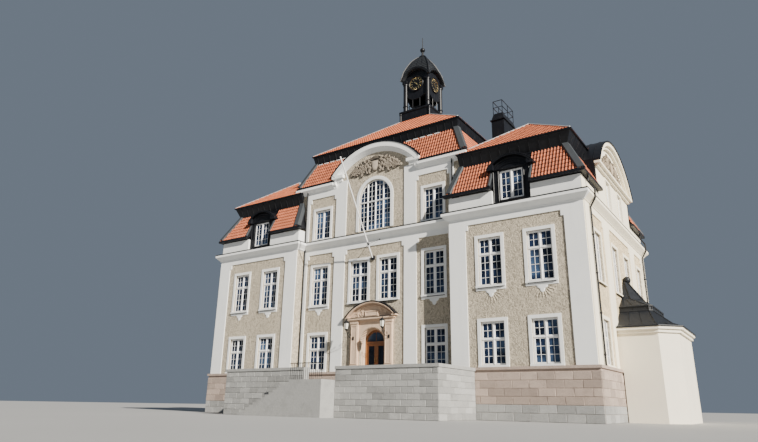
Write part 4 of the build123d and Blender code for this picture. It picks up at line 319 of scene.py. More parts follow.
def framed(place, right, out, across, rise, section, over=(0, 0)):
    """Four bars round an upright rectangle, from its span across and its span in height.

    Level bars run past the upright ones by the first of over, upright ones past the level by the second."""
    (left, far), (low, high), (wide, tall) = across, rise, over
    ends = np.array([place + x * right + z * UP for x, z in (
        (left, low - tall), (left, high + tall), (far, low - tall), (far, high + tall),
        (left - wide, low), (far + wide, low), (left - wide, high), (far + wide, high),
    )])
    return bars(ends[::2], ends[1::2], out, section)


def turned(profile, centre, count=16):
    """A body of revolution about Z: every profile point (radius, height) makes a ring."""
    profile = np.asarray(profile, float)
    angle = (np.arange(count) + 0.5) * 2 * np.pi / count
    ring = np.stack([np.cos(angle), np.sin(angle)], axis=-1)
    flat = profile[:, None, :1] * ring[None]
    level = np.broadcast_to(profile[:, None, 1:], flat.shape[:2] + (1,))
    return ring_mesh((np.concatenate([flat, level], axis=-1) + np.asarray(centre, float))[None])


def put(name, mesh, finish, slot, uv=None, closed=True, smooth=False, body=BODY):
    """A finished piece: its mesh, the name of its finish, a material slot name that is not used, and the body
    it rides on.
    """
    points, quads = mesh
    data = bpy.data.meshes.new(name)
    data.from_pydata(np.asarray(points).tolist(), [], np.asarray(quads).tolist())
    if uv is not None:
        layer = data.uv_layers.new(name="piece")
        corners = np.zeros(len(data.loops), int)
        data.loops.foreach_get("vertex_index", corners)
        layer.data.foreach_set("uv", np.asarray(uv, np.float32)[corners].ravel())
    if closed:
        shell = bmesh.new()
        shell.from_mesh(data)
        bmesh.ops.recalc_face_normals(shell, faces=shell.faces)
        shell.to_mesh(data)
        shell.free()
    if smooth:
        data.shade_smooth()
    data.materials.append(FINISHES[finish])
    piece = bpy.data.objects.new(name, data)
    bpy.context.scene.collection.objects.link(piece)
    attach(piece, body)
    return piece


class Finish:
    """A procedural material, put together node by node."""

    def __init__(self, name):
        self.material = bpy.data.materials.new(name)
        self.material.use_nodes = True
        self.tree = self.material.node_tree
        self.shader = self.tree.nodes["Principled BSDF"]

    def add(self, kind, inputs, output=0, **settings):
        """A node with its settings and inputs, either values or other nodes' outputs."""
        node = self.tree.nodes.new("ShaderNode" + kind)
        for key, value in settings.items():
            setattr(node, key, value)
        for key, value in inputs.items():
            self.feed(node.inputs[key], value)
        return node.outputs[output]

    def feed(self, socket, value):
        """Links an output to a socket, or sets the socket's own value."""
        if isinstance(value, bpy.types.NodeSocket):
            self.tree.links.new(value, socket)
        else:
            socket.default_value = value

    def place(self, scale=(1, 1, 1)):
        """Object coordinates, scaled along each axis."""
        return self.add("Mapping", {0: self.add("TexCoord", {}, "Object"), "Scale": scale})

    def noise(self, scale, detail=4.0, roughness=0.55, vector=None, distortion=0.0):
        """Fractal noise from zero to one."""
        return self.add("TexNoise", {
            "Vector": vector or self.place(), "Scale": scale, "Detail": detail,
            "Roughness": roughness, "Distortion": distortion,
        })

    def math(self, operation, first, second=0.5):
        """One arithmetic step."""
        return self.add("Math", {0: first, 1: second}, operation=operation)

    def ramp(self, factor, low, high):
        """Zero below low, one above high."""
        return self.add("MapRange", {"Value": factor, "From Min": low, "From Max": high}, clamp=True)

    def mix(self, factor, first, second, blend_type="MIX"):
        """Two colours, mixed by a factor."""
        return self.add("Mix", {0: factor, 6: first, 7: second}, 2, data_type="RGBA", blend_type=blend_type)

    def between(self, pattern, low, high):
        """Low where a pattern is zero, high where it is one."""
        return self.add("MapRange", {"Value": pattern, "To Min": low, "To Max": high})

    def cover(self, rgb, over, pattern, low, high, share=1.0):
        """A colour covered by another where a pattern rises from low to high, up to a share."""
        return self.mix(self.math("MULTIPLY", self.ramp(pattern, low, high), share), rgb, over)

    def vary(self, rgb, pattern, span, least):
        """A colour times a factor: least where a pattern is zero, and more by span where it is one."""
        factor = self.math("ADD", self.math("MULTIPLY", pattern, span), least)
        return self.mix(1.0, rgb, self.add("CombineColor", {0: factor, 1: factor, 2: factor}), "MULTIPLY")

    def axis(self, number):
        """One object coordinate."""
        return self.add("SeparateXYZ", {0: self.add("TexCoord", {}, "Object")}, number)

    def on_sunlit_ends(self):
        """One on the end walls of the building, zero elsewhere: where the painted sunlight of the end colours
        goes.
        """
        beyond = self.math("GREATER_THAN", self.math("ABSOLUTE", self.axis(0)), HALF_WIDTH - 0.02)
        return self.math("MULTIPLY", beyond, self.math("GREATER_THAN", self.axis(1), -0.03))

    def bump(self, height, distance, strength=1.0):
        """A bump of a real height."""
        return self.add("Bump", {"Height": height, "Distance": distance, "Strength": strength})

    def done(self, **sockets):
        """Sets the shader's sockets, named with underscores for spaces."""
        for key, value in sockets.items():
            self.feed(self.shader.inputs[key.replace("_", " ")], value)
        return self.material


def rgba(value, factor=1.0):
    """A property's colour, lightened or darkened, with its alpha."""
    return tuple(min(1.0, channel * factor) for channel in value) + (1.0,)


def worm_cast(finish, base):
    """Colour and height of thrown render: slanting worm-like pits with painted shade in them, fine grit and a
    slow change of tone.
    """
    worms = finish.noise(8.5, 3.0, 0.6, finish.place((1.0, 1.0, 0.6)), 1.6)
    grit = finish.noise(60.0, 3.0, 0.7)
    relief = finish.math("ADD", finish.ramp(worms, 0.36, 0.60), finish.math("MULTIPLY", grit, 0.4))
    # Painted shade: the colour darkens where the worm pattern sinks into pits and lightens on the raised
    # parts.
    pit_shaded = finish.vary(base, finish.ramp(worms, 0.38, 0.56), 0.50, 0.66)
    return finish.vary(pit_shaded, finish.noise(0.45, 4.0), 0.24, 0.88), relief


def rough_cast(base, ends):
    """Thrown render, of a lighter colour on the end walls as painted sunlight."""
    finish = Finish("rough_cast")
    rgb, relief = worm_cast(finish, finish.mix(finish.on_sunlit_ends(), rgba(base), rgba(ends)))
    return finish.done(Base_Color=rgb, Roughness=0.95, Normal=finish.bump(relief, 0.035))


def rain_runs(finish):
    """Noise drawn out downwards, as rain leaves it."""
    return finish.noise(2.2, 5.0, 0.6, finish.place((1.0, 1.0, 0.13)))


def smooth_plaster(name, base, ends=None):
    """Painted render: faint trowel waves, grime that runs down, and a slight change of tone."""
    finish = Finish(name)
    # Where an end colour is given, the end walls take it: painted sunlight.
    rgb = finish.mix(finish.on_sunlit_ends(), rgba(base), rgba(ends or base))
    rgb = finish.vary(rgb, finish.ramp(rain_runs(finish), 0.50, 0.82), -0.09, 1.0)
    rgb = finish.vary(rgb, finish.noise(0.7, 4.0), 0.12, 0.94)
    fine = finish.noise(38.0, 5.0, 0.65)
    return finish.done(Base_Color=rgb, Roughness=0.84, Normal=finish.bump(fine, 0.004, 0.8))


def gable_plaster(base, field, face):
    """Smooth plaster in front of a plane, rough-cast on it."""
    finish = Finish("gable_plaster")
    on_field = finish.math("GREATER_THAN", finish.axis(1), face - 0.01)
    smooth = finish.cover(rgba(base), rgba(base, 0.76), rain_runs(finish), 0.5, 0.82, 0.3)
    rough, relief = worm_cast(finish, rgba(field))
    relief = finish.math("MULTIPLY", relief, on_field)
    rgb = finish.mix(on_field, smooth, rough)
    return finish.done(Base_Color=rgb, Roughness=0.92, Normal=finish.bump(relief, 0.03))


def clay_tile(base):
    """Fired clay: each tile has its own tone, with painted shade in the laps and valleys and lichen in
    patches.
    """
    finish = Finish("clay_tile")
    place = finish.add("UVMap", {}, uv_map="piece")
    cell, part = (finish.add("VectorMath", {0: place}, operation=kind) for kind in ("FLOOR", "FRACTION"))
    own = finish.add("TexWhiteNoise", {"Vector": cell}, noise_dimensions="2D")
    across, along = (finish.add("SeparateXYZ", {0: part}, number) for number in (0, 1))
    from_crest = finish.math("ABSOLUTE", finish.math("SUBTRACT", across, 0.5))
    rgb = finish.mix(own, rgba(base, 0.80), rgba(base, 1.18))
    rgb = finish.cover(rgb, rgba(base, 0.6), finish.noise(0.55, 5.0, 0.6), 0.52, 0.75, 0.35)
    # Painted shade: dark under each course's lip and in the valleys between the rolls.
    laps = finish.math("MULTIPLY", finish.ramp(along, 0.80, 1.0), 0.7)
    lap_and_valley_shade = finish.math("MAXIMUM", laps, finish.ramp(from_crest, 0.22, 0.38))
    rgb = finish.mix(finish.math("MULTIPLY", lap_and_valley_shade, 0.92), rgb, (0.05, 0.014, 0.008, 1))
    pores = finish.noise(60.0, 4.0, 0.6)
    return finish.done(Base_Color=rgb, Roughness=0.78, Normal=finish.bump(pores, 0.003))


def sheet_metal(name, base, roughness=0.36, metallic=0.0, dust=0.5):
    """Painted sheet: slight dents that catch the light, and a veil of dust and runs."""
    finish = Finish(name)
    dents = finish.noise(1.3, 2.0)
    veil = finish.noise(5.0, 6.0, 0.7, finish.place((1.0, 1.0, 0.3)))
    dusty = tuple(0.02 + 1.5 * channel for channel in base) + (1.0,)
    rgb = finish.cover(rgba(base), dusty, veil, 0.5, 0.85, dust)
    rough = finish.between(veil, roughness * 0.8, roughness * 1.5)
    return finish.done(Base_Color=rgb, Roughness=rough, Metallic=metallic, Specular_IOR_Level=0.28,
                       Normal=finish.bump(dents, 0.03, 0.35))


def stone(name, base, scale=5.0, own=0.22):
    """Dressed stone: speckled grain, darker weathering and a tone of its own for each stone."""
    finish = Finish(name)
    grain = finish.noise(46.0, 6.0, 0.75)
    rgb = finish.cover(rgba(base, 0.70), rgba(base, 1.22), grain, 0.35, 0.68)
    rgb = finish.cover(rgb, rgba(base, 0.55), finish.noise(scale * 0.35, 5.0, 0.6), 0.5, 0.78, 0.5)
    rgb = finish.vary(rgb, finish.add("Attribute", {}, 2, attribute_name="tone"), own, 1.0)
    relief = finish.math("ADD", grain, finish.noise(scale, 5.0, 0.6))
    return finish.done(Base_Color=rgb, Roughness=0.9, Normal=finish.bump(relief, 0.012))


def carved(name, base, axis, face, depth):
    """Carved stone: grain, and painted shade that darkens it towards the wall it stands on.

    The wall is where the coordinate on the axis equals the face, and the carving stands out by the depth."""
    finish = Finish(name)
    place = finish.math("ABSOLUTE", finish.axis(axis))
    stand = finish.math("ABSOLUTE", finish.math("SUBTRACT", place, face))
    grain = finish.noise(40.0, 5.0, 0.7)
    rgb = finish.cover(rgba(base, 0.8), rgba(base, 1.15), grain, 0.35, 0.7)
    # Painted shade: near black close to the wall, full colour towards the crests.
    rgb = finish.cover(rgba(base, 0.06), rgb, stand, depth * 0.25, depth * 0.9)
    return finish.done(Base_Color=rgb, Roughness=0.92, Normal=finish.bump(grain, 0.008))


def timber(base, front=None):
    """Varnished oak with rings along its grain and fine pores. Anything in front of a plane is brass."""
    finish = Finish("oak" if front is None else "oak_leaf")
    rings = finish.add("TexWave", {
        "Vector": finish.place((1.0, 1.0, 0.06)), "Scale": 11.0, "Distortion": 7.0, "Detail": 3.0,
    })
    pores = finish.noise(60.0, 4.0, 0.7, finish.place((1.0, 1.0, 0.05)))
    rgb = finish.mix(rings, rgba(base, 0.72), rgba(base, 1.35))
    rgb = finish.cover(rgb, rgba(base, 0.4), pores, 0.5, 0.75, 0.5)
    if front is not None:
        fitting = finish.math("LESS_THAN", finish.axis(1), front - 0.001)
        rgb = finish.mix(fitting, rgb, finish.mix(pores, (0.55, 0.36, 0.12, 1), (0.72, 0.52, 0.22, 1)))
        finish.done(Metallic=fitting)
    return finish.done(Base_Color=rgb, Roughness=0.42, Coat_Weight=0.3, Coat_Roughness=0.15,
                       Normal=finish.bump(pores, 0.0015))


def pole_paint(base, iron):
    """White paint on the flagpole, and iron on everything off its line: collar, struts and wall plates.

    The pole leans in the plane x = 0, so a point is off it when it lies beyond its reach from the line."""
    finish = Finish("pole_paint")
    x, y, z = finish.math("ABSOLUTE", finish.axis(0)), finish.axis(1), finish.axis(2)
    off = finish.math("ADD", *(
        finish.math("MULTIPLY", finish.math("SUBTRACT", place, start), float(share))
        for place, start, share in zip((y, z), FLAG_LINE, (np.sin(FLAG_LEAN), np.cos(FLAG_LEAN)))
    ))
    reach = finish.math("MAXIMUM", finish.math("ABSOLUTE", off), x)
    low, high = COLLAR_LEVELS
    fitting = finish.math("MULTIPLY", finish.math("GREATER_THAN", z, low), finish.math("LESS_THAN", z, high))
    for place, limit in ((reach, FLAG_REACH), (y, PLATE_FRONT)):
        fitting = finish.math("MAXIMUM", fitting, finish.math("GREATER_THAN", place, limit))
    marks = finish.noise(6.0, 4.0)
    white = finish.mix(marks, rgba(base), rgba(base, 0.8))
    black = finish.mix(marks, rgba(iron), rgba(iron, 2))
    return finish.done(Base_Color=finish.mix(fitting, white, black), Roughness=0.35)


def paint(name, base, roughness=0.42):
    """Brushed paint with faint brush marks and a little grime."""
    finish = Finish(name)
    marks = finish.noise(30.0, 3.0, 0.5, finish.place((1.0, 1.0, 0.12)))
    rgb = finish.cover(rgba(base), rgba(base, 0.78), finish.noise(2.5, 5.0), 0.52, 0.8, 0.3)
    return finish.done(Base_Color=rgb, Roughness=roughness, Normal=finish.bump(marks, 0.001))


def window_glass(base):
    """Old panes: painted reflections of blue sky in patches, painted shade of the unlit rooms near black, and
    slight waves in the surface.
    """
    finish = Finish("glass")
    sky_reflection = finish.noise(0.35, 2.0, 0.5, finish.place((1.0, 1.0, 1.8)))
    # Painted shade: patches near black where the unlit rooms show through.
    rgb = finish.cover(rgba(base, 0.2), rgba(base), finish.noise(0.9, 3.0, 0.6), 0.40, 0.58)
    # Painted reflection: patches of the sky's blue.
    rgb = finish.cover(rgb, (0.075, 0.13, 0.24, 1), sky_reflection, 0.54, 0.72)
    waves = finish.bump(finish.noise(2.2, 2.0, 0.4), 0.01, 0.3)
    return finish.done(Base_Color=rgb, Roughness=0.06, Specular_IOR_Level=0.35, Normal=waves)


def metal(name, base, roughness=0.3):
    """Bare metal with fine scratches and tarnish."""
    finish = Finish(name)
    tarnish = finish.noise(14.0, 5.0, 0.6)
    rgb = finish.cover(rgba(base), rgba(base, 0.6), tarnish, 0.45, 0.8)
    rough = finish.between(tarnish, roughness * 0.7, roughness * 1.6)
    return finish.done(Base_Color=rgb, Metallic=1.0, Roughness=rough, Normal=finish.bump(tarnish, 0.002))


def boards():
    """Floor boards along X."""
    finish = Finish("floor_boards")
    grain = finish.noise(30.0, 4.0, 0.6, finish.place((0.06, 1.0, 1.0)))
    rgb = finish.cover((0.20, 0.12, 0.07, 1), (0.36, 0.24, 0.15, 1), grain, 0.3, 0.7)
    return finish.done(Base_Color=rgb, Roughness=0.6, Normal=finish.bump(grain, 0.002))


def rectangle(level):
    """The corners of a level rectangle, anticlockwise from above."""
    left, right, front, back, height = level
    corners = (left, front), (right, front), (right, back), (left, back)
    return np.array([(x, y, height) for x, y in corners])


class Slope:
    """One sloping side of a roof, between two points at its foot and two at its top."""

    def __init__(self, foot_left, foot_right, top_left, top_right):
        self.start = np.asarray(foot_left, float)
        self.along = unit(foot_right - self.start)
        rise = top_left - self.start
        self.up = unit(rise - (rise @ self.along) * self.along)
        self.normal = np.cross(self.along, self.up)
        self.height = rise @ self.up
        self.width = np.linalg.norm(foot_right - self.start)
        self.lead = rise @ self.along
        self.trail = (top_right - self.start) @ self.along - self.width

    def point(self, across, up, out):
        """The place at a distance along the foot, up the slope and out of it."""
        across, up, out = (np.asarray(value, float)[..., None] for value in (across, up, out))
        return self.start + across * self.along + up * self.up + out * self.normal


def slopes(low, high, sides=(0, 1, 2, 3)):
    """The sloping sides between two level rectangles."""
    foot, top = rectangle(low), rectangle(high)
    return [Slope(foot[k], foot[(k + 1) % 4], top[k], top[(k + 1) % 4]) for k in sides]


def tiled(slope, sizes, hole=None):
    """Pantiles on one slope, with the cell of every point.

    Height over the slope is a rounded wave across each tile, plus a wedge that is one lip thick
    at a course's lower edge and nothing at its upper edge. Points past a hip are pulled onto it."""
    samples = 5
    courses = max(1, round(slope.height / sizes.course))
    course = slope.height / courses
    first = np.floor(min(0.0, slope.lead) / sizes.tile_width)
    last = np.ceil(max(slope.width, slope.width + slope.trail) / sizes.tile_width)
    across = np.arange(first * samples, last * samples + 1) * sizes.tile_width / samples
    step = np.repeat(np.arange(courses), 2)
    part = np.tile([0.0, 1.0], courses)
    up = (step + part) * course
    share = (up / slope.height)[:, None]
    left, right = share * slope.lead, slope.width + share * slope.trail
    x = np.clip(across[None], left, right)
    phase = across[None] / sizes.tile_width
    wave = sizes.roll * (0.5 + 0.5 * np.cos(2 * np.pi * phase)) ** 1.4
    out = wave + sizes.lip * (1.35 - part)[:, None]
    points = slope.point(x, np.broadcast_to(up[:, None], x.shape), out)
    rows, columns = x.shape
    quads = grid_quads(rows, columns)
    flat = points.reshape(-1, 3)
    wide = x.reshape(-1)
    keep = (wide[quads[:, 1]] - wide[quads[:, 0]] + wide[quads[:, 2]] - wide[quads[:, 3]]) > 1e-4
    if hole is not None:
        keep &= ~hole(flat[quads].mean(axis=1))
    cell = np.stack(np.broadcast_arrays(phase + 0.501, (step + 0.02 + 0.96 * part)[:, None]), axis=-1)
    return flat, quads[keep], cell.reshape(-1, 2)


def tile_piece(name, parts):
    """One piece from several tiled slopes, each with cells of its own."""
    points, quads = joined(*[part[:2] for part in parts])
    cells = np.concatenate([part[2] + (97 * number, 31 * number) for number, part in enumerate(parts)])
    used, index = np.unique(quads, return_inverse=True)
    mesh = (points[used], index.reshape(quads.shape))
    return put(name, mesh, "tile", "roof_tile", uv=cells[used], closed=False)


def wing_holes(centres):
    """Where dormers, end gables and the raised middle part take the place of the wings' tiles."""
    x, y, z = np.abs(centres[:, 0]), centres[:, 1], centres[:, 2]
    dormer = (np.abs(x - WING_MIDDLE) < DORMER_HALF) & (y < DORMER_BACK) & (z < WING_TILE_TOP[4] + 0.1)
    vault = END_CENTRE + np.sqrt(np.maximum(0, END_RADIUS ** 2 - (y - MIDDLE_Y) ** 2))
    end = (np.abs(y - MIDDLE_Y) < END_HALF - 0.05) & (x > HALF_WIDTH - END_DEPTH) & (z < vault - 0.06)
    raised = (x < RAISED_HALF) & (y > RECESS) & (y < DEPTH - RECESS)
    return dormer | end | raised


def centre_holes(centres):
    """Where the middle gable takes the place of tiles."""
    x, y, z = centres[:, 0], centres[:, 1], centres[:, 2]
    vault = GABLE_CENTRE + np.sqrt(np.maximum(0, GABLE_RADIUS ** 2 - x ** 2))
    return (np.abs(x) < GABLE_HALF - 0.05) & (y < GABLE_BACK - 0.1) & (z < vault - 0.06)


def wing_roof_slopes():
    """The four upper slopes of the right wing, up to its ridge."""
    corners = rectangle(WING_BAND_TOP)
    half = (WING_BAND_TOP[1] - WING_BAND_TOP[0]) / 2
    middle, top = (WING_BAND_TOP[0] + WING_BAND_TOP[1]) / 2, WING_BAND_TOP[4] + WING_RIDGE_RISE
    front = np.array((middle, WING_BAND_TOP[2] + half, top))
    back = np.array((middle, WING_BAND_TOP[3] - half, top))
    return [
        Slope(corners[0], corners[1], front, front),
        Slope(corners[1], corners[2], front, back),
        Slope(corners[2], corners[3], back, back),
        Slope(corners[3], corners[0], back, front),
    ], (front, back)


def mirror_slope(slope):
    """The same slope on the left wing, its ends exchanged so that it still faces outwards."""
    flip = np.array((-1, 1, 1))
    foot_left = slope.start * flip
    foot_right = (slope.start + slope.width * slope.along) * flip
    top_left = slope.point(slope.lead, slope.height, 0.0) * flip
    top_right = slope.point(slope.width + slope.trail, slope.height, 0.0) * flip
    return Slope(foot_right, foot_left, top_right, top_left)


def hip_strips(low, high, width, lift, thickness=0.012):
    """Folded metal strips on the four hips between two level rectangles.

    Each section is a flat V: a point on either slope at the strip's width, and the hip itself."""
    foot, top = rectangle(low), rectangle(high)
    rings = []
    for corner in range(4):
        pair = []
        for rect, other in ((foot, top), (top, foot)):
            here = rect[corner]
            to_next = unit(rect[(corner + 1) % 4] - here) * width
            to_last = unit(rect[corner - 1] - here) * width
            rise = np.array((0, 0, lift))
            away = -unit(to_next + to_last) * lift
            over = np.array([here + to_next + rise - unit(to_last) * lift, here + away + rise,
                             here + to_last + rise - unit(to_next) * lift])
            pair.append(np.concatenate([over, over[::-1] - rise - away * 0.5 + (0, 0, -thickness)]))
        rings.append(pair)
    return ring_mesh(rings)


class TOWNHALL_OT_finishes(bpy.types.Operator):
    """Give every part of the frame its finish."""

    bl_idname = "townhall.finishes"
    bl_label = "Finishes"

    def execute(self, context):
        tint = context.scene.townhall_colours
        FINISHES.update({
            # The end walls take the lighter end colours: painted sunlight.
            "rough_cast": rough_cast(tint.rough_cast, tint.sunlit_end_cast),
            "plaster": smooth_plaster("smooth_plaster", tint.plaster, tint.sunlit_end_plaster),
            "annex_plaster": smooth_plaster("annex_plaster", (0.82, 0.76, 0.63)),
            "sunlit_end_plaster": smooth_plaster("sunlit_end_plaster", tint.sunlit_end_plaster),
            "gable": gable_plaster(tint.plaster, tint.rough_cast, RECESS),
            "tile": clay_tile(tint.tile),
            "sheet": sheet_metal("black_sheet", tint.sheet),
            "strip": sheet_metal("grey_strip", tint.strip, 0.5, 0.0, 0.2),
            "pale_strip": sheet_metal("pale_strip", (0.36, 0.37, 0.38), 0.5, 0.0, 0.2),
            "dome": sheet_metal("dome_sheet", (0.035, 0.038, 0.042), 0.34, 0.3, 0.6),
            "annex_sheet": sheet_metal("annex_sheet", (0.011, 0.013, 0.017), 0.42, 0.0, 0.25),
            "pink_stone": stone("pink_stone", tint.pink_stone),
            "grey_stone": stone("grey_stone", tint.grey_stone),
            "sandstone": stone("sandstone", tint.sandstone, 3.0, 0.12),
            "oak": timber(tint.oak),
            "paint": paint("white_paint", tint.paint),
            "leaf": timber(tint.oak, LEAF_PLANE),
            "pole": pole_paint(tint.paint, tint.sheet),
            "dark_glass": window_glass((0.010, 0.012, 0.02)),
            "glass": window_glass(tint.glass),
            "gilt": metal("gilt", tint.gilt),
            "dial": sheet_metal("dial_enamel", (0.006, 0.006, 0.008), 0.2, 0.0, 0.15),
            "boards": boards(),
            "relief": carved("carved_stone", tint.relief, 1, RECESS, 0.17),
            "end_relief": carved("end_carving", (0.62, 0.50, 0.36), 0, HALF_WIDTH, 0.20),
            "iron": sheet_metal("wrought_iron", (0.014, 0.014, 0.015), 0.45, 0.2, 0.3),
            "milk_glass": paint("milk_glass", (0.80, 0.77, 0.68), 0.18),
        })
        by_slot = {
            "stone": "pink_stone", "plaster": "rough_cast", "smooth_plaster": "plaster",
            "timber_floor": "boards", "roof_tile": "tile", "black_metal": "sheet", "dome_metal": "dome",
            "dial": "dial", "gilt": "gilt", "window_white": "paint", "window_glass": "glass",
            "sandstone": "sandstone", "oak": "oak", "pole_white": "pole",
        }
        special = {
            "centre_gable": "gable", "side_gables": "sunlit_end_plaster", "annex_walls": "annex_plaster",
            "terrace_walls": "grey_stone", "terrace_floor": "grey_stone", "annex_roof": "annex_sheet",
            "terrace_railing": "iron", "portal_lanterns": "iron", "mansard_slopes": "sheet",
            "upper_roofs": "sheet", "door_leaf_left": "leaf", "door_leaf_right": "leaf",
        }
        slots = {row["node"]: row["material_slot"] for row in frame["record"]["subparts"]}
        for name, node in frame["nodes"].items():
            node.data.materials.clear()
            node.data.materials.append(FINISHES[special.get(name, by_slot[slots[name]])])
        return {"FINISHED"}


class TOWNHALL_OT_tiles(bpy.types.Operator):
    """Lay the clay tiles on every slope."""

    bl_idname = "townhall.tiles"
    bl_label = "Roof tiles"

    def execute(self, context):
        sizes = context.scene.townhall_roof
        wing = {"lower": slopes(WING_FOOT, WING_TILE_TOP, (0, 1, 2)), "upper": wing_roof_slopes()[0]}
        for level, group in wing.items():
            for side, sides in (("right", group), ("left", [mirror_slope(slope) for slope in group])):
                tile_piece(f"tiles_{level}_{side}", [tiled(slope, sizes, wing_holes) for slope in sides])
        lower, upper = slopes(CENTRE_FOOT, CENTRE_TILE_TOP), slopes(CENTRE_BAND_TOP, CENTRE_ROOF_TOP)
        tile_piece("tiles_lower_middle", [tiled(slope, sizes, centre_holes) for slope in lower])
        tile_piece("tiles_upper_middle", [tiled(slope, sizes) for slope in upper])
        return {"FINISHED"}


def seam_lines(slope, spacing):
    """Foot and top of standing seams at even distances over one slope."""
    count = max(1, int(slope.width / spacing))
    at = (np.arange(count) + 0.5) * slope.width / count
    at = at[(at > max(0, slope.lead)) & (at < slope.width + min(0, slope.trail))]
    return slope.point(at, 0.0, 0.0), slope.point(at, slope.height, 0.0)


def plan_loop(reach, level):
    """The outline of wings and middle part, moved out by a reach, anticlockwise from above."""
    inner, x, y = CENTRE_HALF - reach, HALF_WIDTH + reach, -reach
    front = [(-x, y), (-inner, y), (-inner, y + RECESS), (inner, y + RECESS), (inner, y), (x, y)]
    return np.array([(px, py, level) for px, py in front] + [(-px, DEPTH - py, level) for px, py in front])


def annex_level(half, reach, chamfer, level):
    """The free sides of the annex's outline at one level, anticlockwise from above."""
    x = HALF_WIDTH + reach
    front = [(HALF_WIDTH, -half), (x - chamfer, -half), (x, chamfer - half)]
    sides = front + [(px, -py) for px, py in front[::-1]]
    return np.array([(px, MIDDLE_Y + py, level) for px, py in sides])


def bead(radial, proud):
    """A section for arcs: radial in width, proud of its plane, with a narrower face."""
    half = radial / 2
    return [(-half, -0.01), (half, -0.01), (half, proud * 0.6), (half * 0.5, proud), (-half * 0.5, proud),
            (-half, proud * 0.6)]


class TOWNHALL_OT_metal(bpy.types.Operator):
    """Fit hip strips, ridges, standing seams, flashings and snow guards."""

    bl_idname = "townhall.metal"
    bl_label = "Sheet metal"

    def execute(self, context):
        sizes = context.scene.townhall_roof
        self.strips(sizes)
        self.seams(sizes)
        self.edges()
        self.dormers()
        self.annex(sizes)
        self.guards()
        return {"FINISHED"}

    def strips(self, sizes):
        """Wide strips on the lower hips, narrow caps on the upper hips and ridges."""
        wide, lift = sizes.hip_width, 0.12
        lower = joined(mirrored(hip_strips(WING_FOOT, WING_TILE_TOP, wide, lift)),
                       hip_strips(CENTRE_FOOT, CENTRE_TILE_TOP, wide, lift))
        put("hip_strips", lower, "strip", "black_metal")
        _, (front, back) = wing_roof_slopes()
        cap = [(-0.07, -0.02), (0.07, -0.02), (0.065, 0.09), (0.025, 0.125), (-0.025, 0.125), (-0.065, 0.09)]
        hips = bars(rectangle(WING_BAND_TOP), [front, front, back, back], UP, cap)
        middle = bars(rectangle(CENTRE_BAND_TOP), rectangle(CENTRE_ROOF_TOP), UP, cap)
        caps = joined(mirrored(joined(hips, bars(front, back, UP, cap))), middle)
        put("ridge_caps", caps, "pale_strip", "black_metal")

    def seams(self, sizes):
        """Standing seams on the bands, and over the round gable roofs and hoods."""
        seam, spacing = moulded(0.022, 0.03), sizes.seam_spacing
        bands = slopes(WING_TILE_TOP, WING_BAND_TOP, (0, 1, 2)), slopes(CENTRE_TILE_TOP, CENTRE_BAND_TOP)
        wing, middle = (
            [bars(*seam_lines(slope, spacing), slope.normal, seam) for slope in band] for band in bands
        )
        across = np.array(seam)[:, ::-1]
        reach = np.arcsin(END_HALF / END_RADIUS)
        for x in np.arange(HALF_WIDTH - END_DEPTH + 0.2, HALF_WIDTH + 0.3, spacing):
            wing.append(crest((x, MIDDLE_Y, END_CENTRE), END_RADIUS, reach, across, BACK))
        reach = np.arcsin(GABLE_HALF / GABLE_RADIUS)
        for y in (0.8, 1.4, 1.95):
            middle.append(crest((0, y, GABLE_CENTRE), GABLE_RADIUS, reach, across))
        put("standing_seams", joined(mirrored(joined(*wing)), *middle), "sheet", "black_metal")

    def edges(self):
        """Rolled edges where the slopes break, and the sheet cover of the main cornice."""
        drip = [(-0.03, -0.05), (0.06, -0.05), (0.07, 0.04), (0.0, 0.08), (-0.03, 0.08), (-0.05, 0.0)]
        edges = []
        for x0, x1, y0, y1, level in (WING_BAND_TOP, WING_TILE_TOP):
            path = [(x0, RECESS), (x0, y0), (x1, y0), (x1, y1), (x0, y1), (x0, DEPTH - RECESS)]
            edges.append(mirrored(edging([(x, y, level) for x, y in path], drip, closed=False)))
        for level in (CENTRE_BAND_TOP, CENTRE_TILE_TOP):
            edges.append(edging(rectangle(level), drip))
        cover = [(-0.4, -0.004), (0.018, -0.04), (0.026, -0.04), (0.026, 0.012), (0.01, 0.03), (-0.4, 0.075)]
        edges.append(edging(plan_loop(CORNICE_REACH, CORNICE_TOP), cover))
        put("sheet_edges", joined(*edges), "sheet", "black_metal")

    def dormers(self):
        """Mouldings on the dormers' fronts and hoods, and flashings beside them."""
        x, y, eaves = WING_MIDDLE, DORMER_FRONT, 15.52
        parts = []
        for radius, width, proud in ((1.71, 0.09, 0.07), (1.52, 0.06, 0.045), (1.36, 0.05, 0.06)):
            reach = np.arccos((eaves - HOOD_CENTRE) / radius)
            parts.append(crest((x, y, HOOD_CENTRE), radius, reach, bead(width, proud)))
        reach = np.arcsin(1.5 / HOOD_RADIUS)
        for inset in (0.03, 0.13):
            parts.append(crest((x, -0.06, HOOD_CENTRE), HOOD_RADIUS - inset, reach, bead(0.045, 0.03)))
        for level, half, proud in ((15.46, 1.12, 0.1), (15.40, 0.95, 0.05), (13.3, 0.9, 0.06)):
            parts.append(bars((x - half, y, level), (x + half, y, level), FRONT, moulded(0.07, proud)))
        for post in x + np.array((-1.2, -0.86, 0.86, 1.2)):
            parts.append(bars((post, y, 13.02), (post, y, 15.42), FRONT, moulded(0.07, 0.045)))
        put("dormer_mouldings", mirrored(joined(*parts)), "sheet", "black_metal")
        slope = slopes(WING_FOOT, WING_TILE_TOP, (0,))[0]
        section = [(-0.07, 0.0), (0.07, 0.0), (0.07, 0.11), (0.05, 0.135), (-0.05, 0.135), (-0.07, 0.11)]
        across = x - WING_FOOT[0] + np.array((-1, 1)) * (DORMER_HALF + 0.07)
        flashings = bars(slope.point(across, 0.0, 0.0), slope.point(across, 1.62, 0.0), slope.normal, section)
        put("dormer_flashings", mirrored(flashings), "strip", "black_metal")

